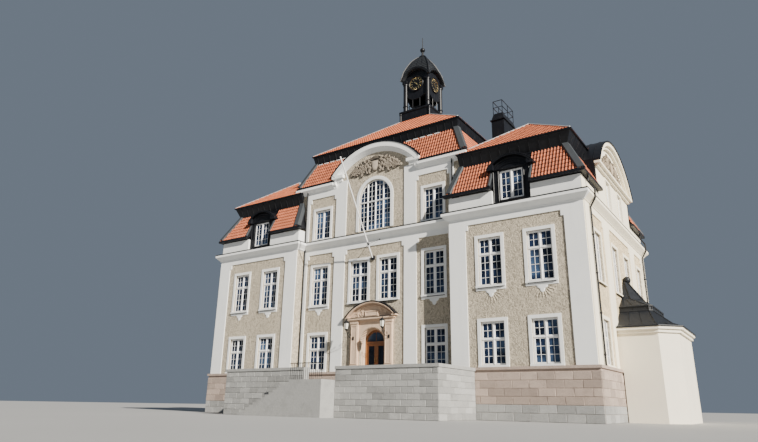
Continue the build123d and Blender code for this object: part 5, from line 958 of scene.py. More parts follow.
    def annex(self, sizes):
        """Hips, seams and edge rolls on the annex's roof of two tiers."""
        levels = [annex_level(*numbers) for numbers in (
            (3.75, 3.56, 1.127, 5.5), (3.2, 3.01, 0.804, 5.73), (2.1, 1.91, 0.16, 6.65),
            (2.1, 1.91, 0.16, 6.95), (1.15, 1.15, 0.575, 7.6), (0.25, 0.25, 0.125, 8.95),
        )]
        roll, seam = moulded(0.07, 0.05), moulded(0.024, 0.028)
        parts = []
        for low, high in zip(levels, levels[1:]):
            away = low[1:5] - (HALF_WIDTH, MIDDLE_Y, low[0, 2])
            parts.append(bars(low[1:5], high[1:5], unit(away * (1, 1, 0) + 0.5 * UP), roll))
            for k in range(5):
                foot, top = low[k + 1] - low[k], high[k + 1] - high[k]
                count = max(1, round(np.linalg.norm(foot) / (sizes.seam_spacing * 1.25)))
                share = (np.arange(1, count) / count)[:, None]
                if count > 1:
                    normal = unit(np.cross(foot, high[k] - low[k]))
                    parts.append(bars(low[k] + share * foot, high[k] + share * top, normal, seam))
        lip = [(-0.04, -0.04), (0.04, -0.05), (0.06, -0.01), (0.05, 0.04), (0.0, 0.06), (-0.04, 0.04)]
        parts += [edging(levels[number], lip, closed=False) for number in (0, 2, 3)]
        put("annex_seams", joined(*parts), "annex_sheet", "black_metal")

    def guards(self):
        """A broken line of snow guards on the middle part's lower slope, clear of the gable's crown."""
        x = np.arange(-6.3, 5.3, 0.62)
        x = x[np.abs(x) > 2.0][:, None]
        start = x * RIGHT + (0, CENTRE_TILE_TOP[2] - 0.1, CENTRE_TILE_TOP[4] - 0.05)
        guards = bars(start, start + 0.42 * RIGHT, FRONT, moulded(0.07, 0.03))
        put("snow_guards", guards, "paint", "black_metal")


class TOWNHALL_OT_windows(bpy.types.Operator):
    """Divide every window into panes with posts, transoms and bars."""

    bl_idname = "townhall.windows"
    bl_label = "Window bars"

    def execute(self, context):
        sizes = context.scene.townhall_windows
        posts, thin = [], []
        for window in window_list():
            self.divide(posts, thin, window, sizes)
        self.divide_arch(posts, thin, sizes)
        put("casements", joined(*posts), "paint", "window_white")
        put("glazing_bars", joined(*thin), "paint", "window_white")
        return {"FINISHED"}

    def divide(self, posts, thin, window, sizes):
        """One window: its middle post, the transom under any upper lights, casements and glazing bars."""
        place, right, out, width, row, upper, lower = window
        half, foot, head = width / 2 - FRAME_WIDTH, row[0] + FRAME_WIDTH, row[1] - FRAME_WIDTH

        def line(group, x0, z0, x1, z1, section):
            group.append(bars(place + x0 * right + z0 * UP, place + x1 * right + z1 * UP, out, section))

        pitch = (head - foot - (sizes.transom if upper else 0)) / (upper + lower)
        lights = [(foot, foot + lower * pitch, lower)]
        line(posts, 0, foot, 0, head, moulded(sizes.post, 0.075))
        if upper:
            split = lights[0][1] + sizes.transom / 2
            line(posts, -half, split, half, split, moulded(sizes.transom, 0.085))
            lights.append((split + sizes.transom / 2, head, upper))
        stile, edge, bar = moulded(sizes.stile, 0.045), sizes.stile / 2, moulded(sizes.bar, 0.04)
        inner = sizes.post / 2
        for low, high, count in lights:
            for side in (-1, 1):
                across, rise = (inner + edge, half - edge), (low + edge, high - edge)
                posts.append(framed(place, side * right, out, across, rise, stile, (edge, edge)))
                middle = side * (inner + half) / 2
                line(thin, middle, low, middle, high, bar)
                for number in range(1, count):
                    z = low + (high - low) * number / count
                    line(thin, side * inner, z, side * half, z, bar)

    def divide_arch(self, posts, thin, sizes):
        """The large round-headed window: four divisions of double panes over and under a transom."""
        y, half, transom = RECESS + BAR_PLANE, ARCH_RADIUS - 0.05, 15.53

        def upright(shares, section):
            x = np.array(shares) * ARCH_RADIUS
            head = ARCH_SPRING + np.sqrt(half ** 2 - x ** 2)
            start = np.stack([x, np.full_like(x, y), np.full_like(x, ARCH_SILL + 0.05)], axis=-1)
            return bars(start, start * (1, 1, 0) + head[:, None] * UP, FRONT, section)

        bar = moulded(sizes.bar, 0.04)
        posts.append(upright((-0.5, 0, 0.5), moulded(0.12, 0.09)))
        posts.append(bars((-half, y, transom), (half, y, transom), FRONT, moulded(0.11, 0.1)))
        levels = np.concatenate([
            ARCH_SILL + (transom - ARCH_SILL) * np.arange(1, 6) / 6,
            transom + 0.42 * np.arange(1, 4),
        ])
        over = np.maximum(0, levels - ARCH_SPRING)
        start = np.stack([-np.sqrt(half ** 2 - over ** 2), np.full_like(levels, y), levels], axis=-1)
        thin += [upright((-0.75, -0.25, 0.25, 0.75), bar), bars(start, start * (-1, 1, 1), FRONT, bar)]


def window_list():
    """Every square-headed window: its middle at level zero, its right and out, width, row and pane rows."""
    found = []
    front, rear, back = (RIGHT, FRONT), (-RIGHT, BACK), DEPTH - RECESS

    def add(x, y, facing, width, row, upper, lower):
        right, out = facing
        found.append((np.array((x, y, 0)) - BAR_PLANE * out, right, out, width, row, upper, lower))

    for side in (-1, 1):
        for row, upper, lower in ((GROUND_ROW, 2, 3), (FIRST_ROW, 2, 4)):
            for x in WING_X:
                add(side * x, 0, front, WINDOW_WIDTH, row, upper, lower)
                add(side * x, DEPTH, rear, WINDOW_WIDTH, row, upper, lower)
            add(side * OUTER_X, RECESS, front, WINDOW_WIDTH, row, upper, lower)
            for x in (OUTER_X, INNER_X):
                add(side * x, back, rear, WINDOW_WIDTH, row, upper, lower)
        add(side * INNER_X, RECESS, front, WINDOW_WIDTH, FIRST_ROW, 2, 4)
        add(side * OUTER_X, RECESS, front, WINDOW_WIDTH, THIRD_ROW, 0, 5)
        for x in (OUTER_X, INNER_X):
            add(side * x, back, rear, WINDOW_WIDTH, THIRD_ROW, 0, 5)
        add(side * WING_MIDDLE, DORMER_FRONT - 0.06, front, WINDOW_WIDTH, DORMER_ROW, 0, 4)
        facing = (side * BACK, side * RIGHT)
        for y in SIDE_Y:
            add(side * HALF_WIDTH, y, facing, SIDE_WINDOW_WIDTH, FIRST_ROW, 2, 4)
            if side < 0 or y in (SIDE_Y[0], SIDE_Y[-1]):
                add(side * HALF_WIDTH, y, facing, SIDE_WINDOW_WIDTH, GROUND_ROW, 2, 3)
        for y in GABLE_Y:
            add(side * HALF_WIDTH, y, facing, GABLE_WINDOW_WIDTH, GABLE_ROW, 0, 4)
    return found


def wall_stones(start, right, out, length, height, course, stone_length, joint, rng, proud=0.03, rough=0.012):
    """Stones on one stretch of wall, and a tone for every point.

    Each is a box with a chamfered, slightly uneven face: rings of 8 points at the wall, at the shoulder
    and at the face, each point moved by its share of a random unevenness."""
    start, right, out = (np.asarray(value, float) for value in (start, right, out))
    courses = max(1, round(height / course))
    step = height / courses
    count = max(1, round(length / stone_length))
    pitch = length / count
    boxes = []
    for number in range(courses):
        cuts = (np.arange(count + 1) - (0.5 if number % 2 else 0.0)) * pitch
        cuts = np.unique(np.clip(np.append(cuts, length), 0, length))
        cuts = cuts[np.append(True, np.diff(cuts) > 0.15)]
        boxes.append(np.stack([cuts[:-1], cuts[1:], np.full(len(cuts) - 1, number * step)], axis=-1))
    left, end, foot = np.concatenate(boxes).T
    corner = np.array([(0, 0), (0.5, 0), (1, 0), (1, 0.5), (1, 1), (0.5, 1), (0, 1), (0, 0.5)])
    rings = []
    for inset, depth in ((joint / 2, -0.01), (joint / 2, proud * 0.45), (joint / 2 + 0.02, proud)):
        a = (left + inset)[:, None] + corner[None, :, 0] * (end - left - 2 * inset)[:, None]
        b = (foot + inset)[:, None] + corner[None, :, 1] * (step - 2 * inset)
        c = depth + (rng.uniform(-rough, rough, a.shape) if depth == proud else 0.0)
        c = np.broadcast_to(c, a.shape)
        rings.append(start + a[..., None] * right + b[..., None] * UP + c[..., None] * out)
    tone = np.repeat(rng.uniform(-1, 1, len(left)), 24)
    return ring_mesh(np.stack(rings, axis=1)), tone


def put_stones(name, parts, finish, slot):
    """One piece from several stretches of stones, each stone with its own tone."""
    piece = put(name, joined(*[part[0] for part in parts]), finish, slot)
    tones = np.concatenate([part[1] for part in parts]).astype(np.float32)
    piece.data.attributes.new("tone", "FLOAT", "POINT").data.foreach_set("value", tones)
    return piece


class TOWNHALL_OT_stones(bpy.types.Operator):
    """Lay the stones of the plinth and of the terrace."""

    bl_idname = "townhall.stones"
    bl_label = "Stones"

    def execute(self, context):
        sizes = context.scene.townhall_stones
        rng = np.random.default_rng(sizes.seed)
        ledge_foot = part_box("plinth")[1].z - LEDGE_HEIGHT
        x, y, inner = HALF_WIDTH + PLINTH_STEP, PLINTH_STEP, CENTRE_HALF - PLINTH_STEP
        wing, beside = x - inner, MIDDLE_Y - ANNEX_HALF + y
        runs = [
            ((inner, -y), RIGHT, FRONT, wing),
            ((-x, -y), RIGHT, FRONT, wing),
            ((-inner, RECESS - y), RIGHT, FRONT, 2 * inner),
            ((x, -y), BACK, RIGHT, beside),
            ((x, MIDDLE_Y + ANNEX_HALF), BACK, RIGHT, beside),
            ((-x, DEPTH + y), FRONT, -RIGHT, DEPTH + 2 * y),
            ((x, DEPTH + y), -RIGHT, BACK, wing),
            ((-inner, DEPTH + y), -RIGHT, BACK, wing),
            ((inner, DEPTH - RECESS + y), -RIGHT, BACK, 2 * inner),
        ]
        upper, lower = [], []
        block = (sizes.plinth_course, sizes.plinth_stone, sizes.joint)
        for (px, py), right, out, length in runs:
            for group, foot, head in ((lower, 0.0, FOOTING_TOP), (upper, FOOTING_TOP, ledge_foot)):
                group.append(wall_stones((px, py, foot), right, out, length, head - foot, *block, rng))
        put_stones("plinth_stones", upper, "pink_stone", "stone")
        put_stones("footing_stones", lower, "grey_stone", "stone")
        self.terrace(sizes, rng)
        return {"FINISHED"}

    def terrace(self, sizes, rng):
        """Ashlar on the terrace's outer faces, up to the coping."""
        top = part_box("terrace_walls")[1].z - COPING_HEIGHT
        half, front = TERRACE_HALF, TERRACE_FRONT
        faces = [
            ((GATE_HALF, front), RIGHT, FRONT, half - GATE_HALF),
            ((-half, front), RIGHT, FRONT, half - GATE_HALF),
            ((half, front), BACK, RIGHT, -front - TERRACE_GAP),
            ((-half, -TERRACE_GAP), FRONT, -RIGHT, -front - TERRACE_GAP),
        ]
        block = (sizes.terrace_course, sizes.terrace_stone, sizes.joint)
        stones = [wall_stones((px, py, 0), right, out, length, top, *block, rng, 0.025, 0.008)
                  for (px, py), right, out, length in faces]
        put_stones("terrace_stones", stones, "grey_stone", "stone")


def on_plane(plane, x, y, z):
    """Points at x along an upright plane, y up it and z out of it, from its origin, right and out."""
    origin, right, out = plane
    x, y, z = (np.asarray(value)[..., None] for value in (x, y, z))
    return origin + x * right + y * UP + z * out


def leaves(base, heading, length, width, curl, plane, height):
    """Carved leaves: each follows an arc of its own curl, swells to its width and tapers to a point.

    A point at s along and t across lies on the arc at s, moved sideways by t times the width profile
    and out by a crown that falls off to the edges, with a groove on the middle vein."""
    base_x, base_y = np.asarray(base, float).T[:, :, None, None]
    heading, length, width, curl = (
        np.asarray(value, float)[:, None, None] for value in (heading, length, width, curl)
    )
    s, t = np.linspace(0, 1, 9)[None, :, None], np.linspace(-1, 1, 7)[None, None, :]
    angle = heading + curl * s
    safe = np.where(np.abs(curl) < 1e-3, 1e-3, curl)
    spine_x = length * (np.sin(heading + safe * s) - np.sin(heading)) / safe
    spine_y = -length * (np.cos(heading + safe * s) - np.cos(heading)) / safe
    scallops = 1 + 0.16 * np.cos(14 * np.pi * s)
    swell = width * np.sin(np.pi * np.clip(s, 0.03, 0.97)) ** 0.7 * scallops
    x = base_x + spine_x - np.sin(angle) * t * swell
    y = base_y + spine_y + np.cos(angle) * t * swell
    crown = height * (1 - t ** 2) ** 0.6 * np.sin(np.pi * np.clip(s + 0.06, 0, 1)) ** 0.5
    groove = 0.28 * height * np.exp(-(t / 0.18) ** 2)
    faces = (grid_quads(9, 7)[None] + (np.arange(len(base)) * 9 * 7)[:, None, None]).reshape(-1, 4)
    return on_plane(plane, x, y, crown - groove - 0.01).reshape(-1, 3), faces


def scroll(centre, radius, turns, start, side, plane, thickness):
    """A spiral tendril: its radius shrinks evenly with the angle, and its section shrinks with it."""
    _, right, out = plane
    s = np.linspace(0, 1, 44)
    angle = start + side * 2 * np.pi * turns * s
    reach = radius * (1 - 0.86 * s)
    path = on_plane(plane, centre[0] + reach * np.cos(angle), centre[1] + reach * np.sin(angle), 0.02)
    radial = np.cos(angle)[:, None] * right + np.sin(angle)[:, None] * UP
    turn = np.arange(8)[:, None] * np.pi / 4
    size = (thickness * (1 - 0.5 * s))[:, None, None]
    return ring_mesh((path[:, None] + size * (np.cos(turn) * radial[:, None] + np.sin(turn) * out))[None])


def shield(centre, width, height, plane, thickness):
    """A plain swelling shield: half its width is even at the top and falls as a root curve to its point."""
    v = np.linspace(0, 1, 15)[:, None]
    u = np.linspace(-1, 1, 13)[None, :]
    half = width / 2 * np.where(v > 0.45, 1.0, np.sqrt(np.clip(v / 0.45, 0.004, 1)) ** 0.9)
    x, y = centre[0] + u * half, centre[1] + (v - 0.5) * height + 0 * u
    rim = np.maximum(np.abs(u), np.abs(2 * v - 1))
    z = thickness * (1 - rim ** 6) * (0.75 + 0.25 * (1 - u ** 2)) + 0.02 * (rim > 0.78) * (rim < 0.95) - 0.01
    return on_plane(plane, x, y, z).reshape(-1, 3), grid_quads(15, 13)


def foliage(origin, right, out, half, rise, base_level, seed, count):
    """A crescent of leaves and scrolls round a shield, mirrored left to right."""
    rng = np.random.default_rng(seed)
    plane = (np.asarray(origin, float), right, out)
    x = rng.uniform(0.16, 1.0, count) * half
    share = 1 - (x / (1.12 * half)) ** 2
    y = base_level + rng.uniform(0.0, 1.0, count) * rise * share + 0.10 * rise * (x / half)
    heading = rng.uniform(0.05, 1.5, count)
    length = rng.uniform(0.22, 0.42, count) * (0.6 + 0.5 * share)
    curl = rng.uniform(-2.6, 2.6, count)
    width = length * rng.uniform(0.20, 0.32, count)
    parts = [
        leaves(np.stack([side * x, y], axis=-1), np.pi * (side < 0) + side * heading, length, width,
               side * curl, plane, 0.15)
        for side in (1, -1)
    ]
    for side in (-1, 1):
        for share_x, size in ((0.34, 0.30), (0.60, 0.25), (0.82, 0.19)):
            place = (side * share_x * half, base_level + rise * 0.42 * (1 - share_x ** 2) + 0.05)
            parts.append(scroll(place, size * rise * 0.95, 1.4, np.pi / 2, side, plane, 0.075))
    parts.append(shield((0, base_level + 0.5 * rise), 0.72, 0.76 * rise, plane, 0.16))
    parts.append(leaves(
        np.stack([np.linspace(-0.2, 0.2, 9), np.full(9, base_level + 0.9 * rise)], axis=-1),
        np.linspace(2.5, 0.64, 9), np.full(9, 0.42), np.full(9, 0.08), np.linspace(0.9, -0.9, 9),
        plane, 0.09))
    return joined(*parts)


class TOWNHALL_OT_reliefs(bpy.types.Operator):
    """Carve the foliage over the arched window, in the end gables and over the doorway."""

    bl_idname = "townhall.reliefs"
    bl_label = "Reliefs"

    def execute(self, context):
        looks = {"closed": False, "smooth": True}
        front = foliage((0, RECESS, 0), RIGHT, FRONT, 2.2, 1.25, 17.72, 5, 150)
        put("gable_relief", front, "relief", "smooth_plaster", **looks)
        for side, name in ((1, "right"), (-1, "left")):
            place = (side * HALF_WIDTH, MIDDLE_Y, 0)
            end = foliage(place, side * BACK, side * RIGHT, 2.5, 1.35, 16.5, 8, 70)
            put(f"end_relief_{name}", end, "end_relief", "smooth_plaster", **looks)
        plane, upright = (TYMPANUM_PLANE * BACK, RIGHT, FRONT), np.pi / 2
        curls = []
        for side in (-1, 1):
            for x, z, radius in ((0.92, 6.98, 0.17), (1.28, 6.86, 0.12), (0.86, 7.24, 0.09)):
                curls.append(scroll((side * x, z), radius, 1.5, upright, side, plane, 0.028))
            curls.append(leaves(
                [(side * 0.7, 6.8), (side * 1.1, 7.0)], [upright - side * 0.3, upright - side * 1.1],
                [0.4, 0.42], [0.06, 0.06], [-side * 1.2, -side * 0.9], plane, 0.05))
        put("tympanum_relief", joined(*curls), "sandstone", "sandstone", **looks)
        return {"FINISHED"}


class TOWNHALL_OT_clock(bpy.types.Operator):
    """Mark the four dials, and fit the mouldings and seams of the turret."""

    bl_idname = "townhall.clock"
    bl_label = "Clock turret"

    def execute(self, context):
        marks, trim, axis = [], [], MIDDLE_Y * BACK
        for turn in np.arange(4) * np.pi / 2:
            out = np.array((np.sin(turn), -np.cos(turn), 0))
            right = np.array((np.cos(turn), np.sin(turn), 0))
            centre = axis + DIAL_LEVEL * UP + DIAL_FACE * out
            long_quarters = np.where(np.arange(12) % 3, 0.41, 0.36)[:, None]
            for count, inner, outer, section in (
                (12, long_quarters, 0.575, moulded(0.085, 0.016)), (60, 0.59, 0.612, moulded(0.016, 0.012)),
            ):
                angle = (np.arange(count) * 2 * np.pi / count)[:, None]
                ray = np.sin(angle) * right + np.cos(angle) * UP
                marks.append(bars(centre + ray * inner, centre + ray * outer, out, section))
            marks.append(arc_bar(centre, 0.635, 0, 2 * np.pi, right, UP, bead(0.014, 0.02), 48))
            self.face(trim, axis, right, out)
        for half, level, reach in ((1.5, 25.86, 0.05), (1.4, 26.0, 0.04)):
            trim.append(self.square(half, level, reach))
        half_widths, rises = DOME_PROFILE.T
        for level in np.arange(30.0, 32.0, 0.24):
            trim.append(self.square(np.interp(level, rises, half_widths), level, 0.022))
        ring = [(0.19, -0.06), (0.235, -0.045), (0.25, 0.0), (0.235, 0.045), (0.19, 0.06)]
        corner = [(0.13, 0.0), (0.14, 0.1), (0.105, 0.16), (0.105, 0.8), (0.14, 0.86), (0.13, 0.98)]
        for x, y in ((-1, -1), (-1, 1), (1, -1), (1, 1)):
            for profile, reach, level in ((ring, 1.15, 26.6), (corner, 1.47, 24.84)):
                trim.append(turned(profile, (reach * x, MIDDLE_Y + reach * y, level)))
        put("dial_marks", joined(*marks), "gilt", "gilt")
        put("turret_mouldings", joined(*trim), "sheet", "dome_metal")
        return {"FINISHED"}

    def square(self, half, level, reach):
        """A moulding round the turret."""
        section = [(-0.05, -reach), (reach * 0.6, -reach), (reach, -0.3 * reach), (reach, 0.3 * reach),
                   (reach * 0.6, reach), (-0.05, reach)]
        return edging(rectangle((-half, half, MIDDLE_Y - half, MIDDLE_Y + half, level)), section)

    def face(self, trim, axis, right, out):
        """One side of the turret: the dial's rim, rolls on the hood, ribs on the dome, and a frame below."""
        rim = axis + DIAL_LEVEL * UP + (DIAL_FACE - 0.03) * out
        trim.append(arc_bar(rim, 0.72, 0, 2 * np.pi, right, UP, bead(0.1, 0.09), 40))
        hood = axis + DOME_ARCH_CENTRE * UP + 1.5 * out
        for radius in (DOME_ARCH_RADIUS - 0.03, DOME_ARCH_RADIUS - 0.15):
            reach = np.arccos((29.24 - DOME_ARCH_CENTRE) / radius)
            trim.append(crest(hood, radius, reach, bead(0.05, 0.035), right, 24))
        half, level = DOME_PROFILE[:, :1], DOME_PROFILE[:, 1:]
        roll = np.array([
            (-0.03, 0.05), (0.04, 0.05), (0.06, 0.02), (0.06, -0.02), (0.04, -0.05), (-0.03, -0.05),
        ])
        hip, away = axis + half * (right + out) + level * UP, unit(right + out)
        trim.append(swept(hip, np.broadcast_to(away, hip.shape), unit(right - out), roll))
        for share in (-0.5, 0.0, 0.5):
            path = (axis + half * (out + share * right) + level * UP)[2:]
            trim.append(swept(path, np.broadcast_to(out, path.shape), right, roll * 0.5))
        trim.append(framed(axis + 1.2 * out, right, out, (-0.37, 0.37), (26.31, 27.14), moulded(0.08, 0.04)))


class TOWNHALL_OT_trim(bpy.types.Operator):
    """Add plaster trim to windows and cornices, black strips as painted shade under the sills, and collars to
    the pipes.
    """

    bl_idname = "townhall.trim"
    bl_label = "Plaster trim"

    def execute(self, context):
        self.coves()
        self.under_windows()
        self.collars()
        band = [(0, -0.01), (0.26, -0.01), (0.26, 0.03), (0.25, 0.04), (0.01, 0.04), (0, 0.03)]
        arch = arc_bar((0, RECESS, ARCH_SPRING), ARCH_RADIUS, 0, np.pi, RIGHT, UP, band)
        foot, spring = (ARCH_RADIUS, RECESS, ARCH_SILL), (ARCH_RADIUS, RECESS, ARCH_SPRING)
        sides = mirrored(bars(foot, spring, FRONT, band))
        put("arch_surround", joined(arch, sides), "plaster", "smooth_plaster")
        return {"FINISHED"}

    def under_windows(self):
        """Aprons and fans under the front's first-floor windows, and black strips under the sills as painted
        shade.
        """
        aprons, fans = [], []
        sill = FIRST_ROW[0] - 0.3
        places = (WING_X[0], 0), (WING_X[1], 0), (OUTER_X, RECESS)
        for x, y in [(side * x, y) for side in (-1, 1) for x, y in places]:
            level = sill + 0.1
            aprons.append(self.apron((x, y, sill)))
            aprons.append(bars((x - 0.98, y, level), (x + 0.98, y, level), FRONT, moulded(0.19, 0.045, 0.02)))
            fans.append(self.fan((x, y, sill)))
        put("sill_aprons", joined(*aprons), "plaster", "smooth_plaster", closed=False)
        put("rough_cast_fans", joined(*fans), "rough_cast", "plaster", closed=False)
        # Black strips under the sills: painted shade, standing where the sills' undersides are in shadow.
        under = [(0, -0.02), (0, 0.12), (0.012, 0.125), (0.035, 0.125), (0.035, 0.0), (0.03, -0.02)]
        parts = []
        for place, right, out, width, row, _, _ in window_list():
            if row is not DORMER_ROW:
                wall, half = place + BAR_PLANE * out + (row[0] - 0.11) * UP, width / 2 + 0.06
                parts.append(bars(wall - half * right, wall + half * right, out, under))
        put("sill_shade_strips", joined(*parts), "sheet", "black_metal")

    def collars(self):
        """Collars at even distances on the rain-water pipes."""
        collar = [(0.052, -0.045), (0.072, -0.035), (0.078, 0.0), (0.072, 0.035), (0.052, 0.045)]
        collars = [turned(collar, (x, y, level), 10) for x, y, top in PIPES
                   for level in np.arange(FIRST_COLLAR, top, COLLAR_SPACING)]
        put("pipe_collars", mirrored(joined(*collars)), "sheet", "black_metal")

    def coves(self):
        """Sloping soffits from the walls to the cornices' edges, and inside the arc of the middle gable."""
        main = [(-0.01, -0.62), (0.02, -0.62), (0.2, -0.43), (0.415, -0.225), (0.415, -0.05), (-0.01, -0.05)]
        upper = [(-0.01, -0.54), (0.02, -0.54), (0.18, -0.37), (0.35, -0.2), (0.35, -0.04), (-0.01, -0.04)]
        rear = DEPTH - RECESS
        path = [(GABLE_HALF - 0.15, RECESS), (RAISED_HALF, RECESS), (RAISED_HALF, rear), (0, rear)]
        raised = edging([(x, y, UPPER_CORNICE_TOP) for x, y in path], upper, closed=False)
        arc = [(-0.42, -0.01), (-0.42, 0.03), (-0.26, 0.18), (-0.1, 0.32), (0.255, 0.32), (0.255, -0.01)]
        gable = crest((0, RECESS, GABLE_CENTRE), GABLE_RADIUS - 0.36, 0.88, arc, steps=60)
        mesh = joined(edging(plan_loop(0, CORNICE_TOP), main), mirrored(raised), gable)
        put("cornice_coves", mesh, "plaster", "smooth_plaster")

    def apron(self, place):
        """A small shield below a sill: a flat band that narrows in two steps to a round drop."""
        v = np.linspace(0, 1, 13)[:, None]
        u = np.linspace(-1, 1, 9)[None, :]
        half = np.interp(v, [0, 0.15, 0.4, 0.55, 0.62, 1], [0.04, 0.13, 0.17, 0.17, 0.30, 0.42])
        x = u * half
        z = -0.42 * (1 - v) + 0 * u
        depth = 0.05 * (1 - np.abs(u) ** 8) - 0.01
        points = np.stack(np.broadcast_arrays(place[0] + x, place[1] - depth, place[2] + z), axis=-1)
        return points.reshape(-1, 3), grid_quads(13, 9)

    def fan(self, place):
        """A half round of ridges spread below an apron: waves along the angle, fading to both rims."""
        r = np.linspace(0, 1, 7)[:, None]
        angle = np.linspace(-1.5, 1.5, 65)[None, :]
        reach = 0.3 + 0.55 * r
        depth = np.sin(np.pi * r) ** 0.5 * (0.012 + 0.016 * np.cos(angle * 22)) - 0.004
        points = np.stack(np.broadcast_arrays(place[0] + reach * np.sin(angle), place[1] - depth,
                                              place[2] - reach * np.cos(angle)), axis=-1)
        return points.reshape(-1, 3), grid_quads(7, 65)


class TOWNHALL_OT_entrance(bpy.types.Operator):
    """Fit the portal's ribs, panels and flashing, the door's panes and the lanterns' glass."""

    bl_idname = "townhall.entrance"
    bl_label = "Entrance"

    def execute(self, context):
        self.portal()
        for side, name in ((1, "right"), (-1, "left")):
            self.leaf(side, name)
        self.fanlight()
        self.lanterns()
        return {"FINISHED"}

    def portal(self):
        """Ribs round the stepped arch, frames on piers and tablet, rolls on the hood, and its flashing."""
        angle = np.linspace(0.03, np.pi - 0.03, 25)[:, None]
        radial, spring = np.cos(angle) * RIGHT + np.sin(angle) * UP, DOOR_SPRING * UP
        outer, inner = spring + radial * 1.06 + 0.87 * BACK, spring + radial * 0.945 + 1.14 * BACK
        pier = framed(PORTAL_FRONT * BACK, RIGHT, FRONT, (1.235, 1.695), (3.5, 6.14),
                      moulded(0.06, 0.028), (0.03, 0))
        tablet = framed(TABLET_PLANE * BACK, RIGHT, FRONT, (-0.52, 0.52), (6.83, 7.11), moulded(0.05, 0.03))
        parts = [bars(outer, inner, -radial, moulded(0.055, 0.045)), mirrored(pier), tablet]
        reach = np.arcsin(1.9 / (PORTAL_RADIUS - 0.2))
        for inset, y, half, section in (
            (0.17, 0.85, reach, bead(0.06, 0.06)), (0.3, 0.81, reach, bead(0.06, 0.06)),
            (0.09, 0.52, 0.83, bead(0.05, 0.03)),
        ):
            parts.append(crest((0, y, PORTAL_CENTRE), PORTAL_RADIUS - inset, half, section))
        put("portal_mouldings", joined(*parts), "sandstone", "sandstone")
        flashing = [(-0.004, 0.0), (0.04, 0.0), (0.04, 0.41), (-0.06, 0.41), (-0.06, 0.385), (-0.004, 0.385)]
        edge = crest((0, RECESS, PORTAL_CENTRE), PORTAL_RADIUS, np.arcsin(2.17 / PORTAL_RADIUS), flashing)
        cover = [(0, 0), (0, 0.02), (0.25, 0.015), (0.25, -0.03)]
        shelf = bars((-1.84, TYMPANUM_PLANE, 6.7), (1.84, TYMPANUM_PLANE, 6.7), UP, cover)
        put("portal_flashing", joined(edge, shelf), "sheet", "black_metal")

    def leaf(self, side, name):
        """A dark pane in the leaf's recess, with mouldings round it and round the panel below."""
        body, across, light, panel = f"door_leaf_{name}", (0.154, 0.654), (3.258, 4.778), (2.78, 3.12)
        (left, right), (low, high) = across, light
        ring = np.array([(side * x, LEAF_PLANE + 0.021, z) for x, z in (
            (left, low), (right, low), (right, high), (left, high))])
        pane = ring_mesh(np.stack([ring, ring - 0.006 * BACK])[None])
        put(f"door_pane_{name}", pane, "dark_glass", "window_glass", body=body)
        frames = [framed(LEAF_PLANE * BACK, side * RIGHT, FRONT, across, rise, moulded(0.035, 0.014))
                  for rise in (light, panel)]
        put(f"door_mouldings_{name}", joined(*frames), "oak", "oak", body=body)

    def fanlight(self):
        """A dark pane over the transom, with a thin ring and a middle bar."""
        angle = np.linspace(0, np.pi, 32)[:, None]
        low, spring = 5.066, DOOR_SPRING
        rim = np.array((0, LEAF_PLANE - 0.024, spring)) + 0.81 * (np.cos(angle) * RIGHT + np.sin(angle) * UP)
        rim[:, 2] = np.maximum(rim[:, 2], low)
        pane = ring_mesh(np.stack([rim, rim - 0.006 * BACK])[None])
        put("fanlight_pane", pane, "dark_glass", "window_glass")
        centre = np.array((0, LEAF_PLANE - 0.03, spring))
        ring = arc_bar(centre, 0.79, 0.16, np.pi - 0.16, RIGHT, UP, bead(0.05, 0.03), 30)
        bar = bars(centre + (low - spring) * UP, centre + 0.79 * UP, FRONT, moulded(0.03, 0.02))
        put("fanlight_bars", joined(ring, bar), "oak", "oak")

    def lanterns(self):
        """Glass in the six-sided cages, iron bars on their corners, and scrolls on the arms."""
        angle = (np.arange(6) * np.pi / 3)[:, None]
        ray = np.cos(angle) * RIGHT + np.sin(angle) * BACK
        centre = np.array((LANTERN_X, LANTERN_Y, LANTERN_Z))
        low, high = centre - 0.20 * UP + 0.127 * ray, centre + 0.205 * UP + 0.178 * ray
        put("lantern_glass", mirrored(ring_mesh(np.stack([low, high])[None])), "milk_glass", "window_glass")
        iron = [bars(low, high, ray, moulded(0.022, 0.018))]
        for rim, width, proud in ((low, 0.022, 0.02), (high, 0.026, 0.03)):
            iron.append(bars(rim, np.roll(rim, -1, axis=0), ray, moulded(width, proud)))
        for place, radius, turns, side in (((-0.42, 5.46), 0.11, 1.5, 1), ((-0.15, 5.62), 0.08, 1.4, -1)):
            iron.append(scroll(place, radius, turns, 0.4, side, (LANTERN_X * RIGHT, FRONT, RIGHT), 0.014))
        spike = turned([(0.02, 0.0), (0.03, 0.03), (0.012, 0.07), (0.003, 0.17)], centre + 0.45 * UP, 8)
        put("lantern_iron", mirrored(joined(*iron, spike)), "iron", "black_metal")


